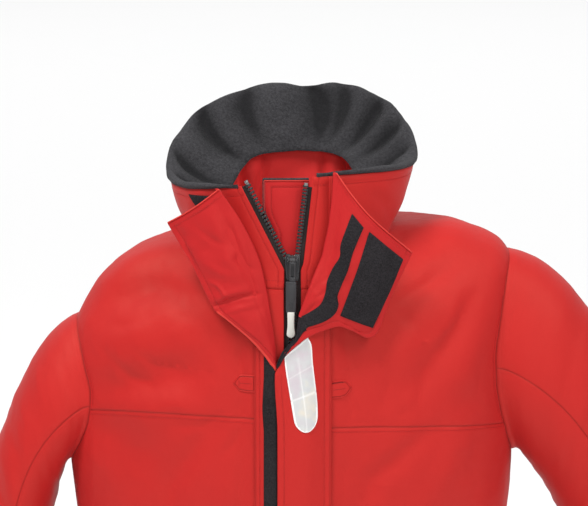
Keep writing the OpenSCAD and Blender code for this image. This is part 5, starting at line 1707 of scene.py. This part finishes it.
up = (0.75 + 0.28 * (1 - ease((d - 1.3) / 0.6)) - 0.35 * bump(d, 0, 0.5) - 0.3 * press
      + 0.3 * noise(base, (9, 9, 16), 71) * ease(d / 3))
mark = np.clip(0.45 * press, 0, 1)
obj = slab("reflective_patch_film", base + n * up[..., None], base, M_FILM, mark=mark)
paint(obj, d < 2.0, M_RIM)
put(obj, "bend:storm_flap", "reflective_film", "reflective_patch", "reflective_patch_top")


# pentagon tabs stitched flat on the front: a raised outline with a bar of thread inside
def tab_shape(side, z0, o):
    xs = np.array([38.5, 50, 56, 63.0])
    top = np.array([9.3, 9.5, 8.5, 0.3])
    fine = np.linspace(0, 1, 64)
    x = np.interp(fine, np.linspace(0, 1, 4), xs)
    half = np.interp(x, xs, top)
    v = np.linspace(-1, 1, 48)
    zz = z0 + half[:, None] * v[None]
    xx = side * (x[:, None] + 0 * zz)
    p = front_at(xx, zz)
    n = body_out(angle_at(xx, station(zz)), station(zz))
    return p + n * (folds(p) + o)[..., None], n


for side, word, z0 in ((1, "left", -148.6), (-1, "right", -140.2)):
    g, n = tab_shape(side, z0, 0.12)
    d = rim_distance(g)
    h = 0.15 + 0.95 * ease(d / 0.9) - 0.6 * bump(d, 2.0, 0.6)
    SEAMS += [inset(g + n * 0.45, n, k, 1.9) for k in "tblr"]
    # painted shade in the groove round the tab's outline (mark)
    put(slab(f"stitched_tab_{word}_cloth", g + n * h[..., None], g, M_RED, mark=1.0 * bump(d, 2.0, 0.7)),
        "jacket", "outer_red",
        f"stitched_tab_{word}")
    pts, outs = tab_shape(side, z0, 0.95)
    bars = [(pts[8:42, 24], outs[8:42, 24])]
    if side > 0:
        bars.append((pts[4:36, 41], outs[4:36, 41]))
    else:
        bars.append((pts[44, 14:34], outs[44, 14:34]))
    put(stitches(f"stitched_tab_{word}_bar", bars, M_BAR, 1.0, 0.9, 0.5), "jacket", "outer_red")

# ------------------------------------------------------------------ pockets, guessed below the view
PX, PZ = (100.0, 184.0), (-600.0, -430.0)


def pocket_rise(x, z):
    return 0.6 + 14 * ease(np.minimum(x - PX[0], PX[1] - x) / 14) * ease((z - PZ[0]) / 30)


def flap_rise(z):
    return 6 + 14 * ease((-408 - z) / 20)


def on_front(side, x, z, o):
    xx, zz = side * x, z + 0 * x
    p = front_at(xx, zz)
    n = body_out(angle_at(xx, station(zz)), station(zz))
    return p + n * np.asarray(o)[..., None], n


for side, word in ((1, "left"), (-1, "right")):
    x, z = graded(PX[0], PX[1], 80)[None], graded(PZ[0], PZ[1], 110)[:, None]
    x, z = x + 0 * z, z + 0 * x
    g, n = on_front(side, x, z, pocket_rise(x, z))
    soft = ((1.2 * noise(g, (26, 26, 40), 81) + 0.5 * noise(g, (12, 12, 14), 82))
            * ease(rim_distance(g, "blr") / 14) - 0.3)
    d = rim_distance(g, "tlr")
    dh = rim_distance(g, "b")
    h = (soft - 0.6 * bump(d, 2.2, 0.8) - 0.5 * bump(dh, 18, 1.0)
         + 0.3 * noise(g, (5, 5, 5), 83) * bump(d, 3, 4))
    SEAMS += [inset(g + n * 1.9, n, k, 2.2) for k in "tlr"] + [inset(g + n * 1.9, n, "b", 17.6)]
    # painted shade in the stitch grooves at the sides and top, and along the stitch line 18 mm above the
    # bottom (mark)
    put(slab(f"pocket_{word}_cloth", g + n * (1.9 + h)[..., None], g + n * 0.2, M_RED,
             mark=0.6 * bump(d, 2.2, 0.6) + 0.5 * bump(dh, 18, 0.7)),
        "jacket", "outer_red", f"pocket_{word}")
    x, z = graded(122, 162, 30)[None], graded(-462, -444, 16)[:, None]
    x, z = x + 0 * z, z + 0 * x
    g, n = on_front(side, x, z, pocket_rise(x, z) + 2.3)
    put(slab(f"pocket_loop_{word}_pile", g + n * 1.0, g, M_LOOP), "jacket", "loop_tape",
        f"pocket_loop_{word}")
    x, z = graded(96, 188, 80)[None], graded(-470, -408, 50)[:, None]
    x, z = x + 0 * z, z + 0 * x
    corner = np.clip((np.abs(x - 142) - 38) / 8, 0, 1) * np.clip((-452 - z) / 18, 0, 1)
    z = z + 7 * corner ** 1.5
    g, n = on_front(side, x, z, flap_rise(z))
    d = rim_distance(g)
    h = (0.8 * noise(g, (24, 24, 18), 84) * ease(d / 8) - 0.5 * bump(d, 2.4, 0.7) - 0.4 * bump(d, 8.6, 0.8)
         + 0.25 * noise(g, (5, 5, 5), 85))
    # painted shade in the two stitch grooves of the flap (mark)
    put(slab(f"pocket_flap_{word}_cloth", g + n * (2.0 + h)[..., None], g + n * 0.2, M_RED,
             mark=0.5 * bump(d, 2.4, 0.5) + 0.4 * bump(d, 8.6, 0.6)),
        f"pocket_flap_{word}", "outer_red", f"pocket_flap_{word}")

# ------------------------------------------------------------------ topstitching
put(stitches("topstitching_body", SEAMS, M_THREAD), "jacket", "outer_red")


# ------------------------------------------------------------------ camera, light and floor
cam_data = bpy.data.cameras.new("camera")
cam_data.sensor_width = 36
cam_data.lens = 143
cam_data.clip_end = 50
cam = bpy.data.objects.new("camera", cam_data)
bpy.context.scene.collection.objects.link(cam)

aim = Vector((0.0016, -0.060, -0.0124))
tilt = math.radians(CAMERA_TILT)
cam.location = aim + Vector((0, -CAMERA_FAR * math.cos(tilt), CAMERA_FAR * math.sin(tilt)))
cam.rotation_euler = (aim - cam.location).to_track_quat("-Z", "Y").to_euler()
bpy.context.scene.camera = cam


def area(name, at, power, size, size_y, color=(1, 1, 1)):
    data = bpy.data.lights.new(name, "AREA")
    data.shape = "RECTANGLE"
    data.size, data.size_y = size, size_y
    data.energy = power
    data.color = color
    obj = bpy.data.objects.new(name, data)
    obj.location = at
    obj.rotation_euler = (Vector((0, 0, -0.15)) - obj.location).to_track_quat("-Z", "Y").to_euler()
    bpy.context.scene.collection.objects.link(obj)
    return obj


area("key", Vector((-1.15, -1.1, 2.5)), 76, 0.9, 0.9)
area("side", Vector((1.7, -1.7, 2.2)), 44, 1.0, 1.0)
area("front", Vector((0.45, -3.2, 0.75)), 19, 1.4, 1.0)
wash = area("wash", Vector((0, 8.0, 3.4)), 560, 16, 13)
wash.rotation_euler = (0, 0, 0)
wash.visible_camera = False
world = bpy.data.worlds.new("world")
world.use_nodes = True
world.node_tree.nodes["Background"].inputs["Color"].default_value = (1, 1, 1, 1)
world.node_tree.nodes["Background"].inputs["Strength"].default_value = 0.36
bpy.context.scene.world = world
bpy.context.scene.view_settings.view_transform = "Standard"

bpy.ops.mesh.primitive_plane_add(size=120, location=(0, 0, FLOOR_Z))
floor = bpy.context.object
floor.name = "floor"
floor.data.materials.append(principled("floor", (0.93, 0.93, 0.93), 0.9, Specular_IOR_Level=0.0)[0])
floor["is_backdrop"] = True

low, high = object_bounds()
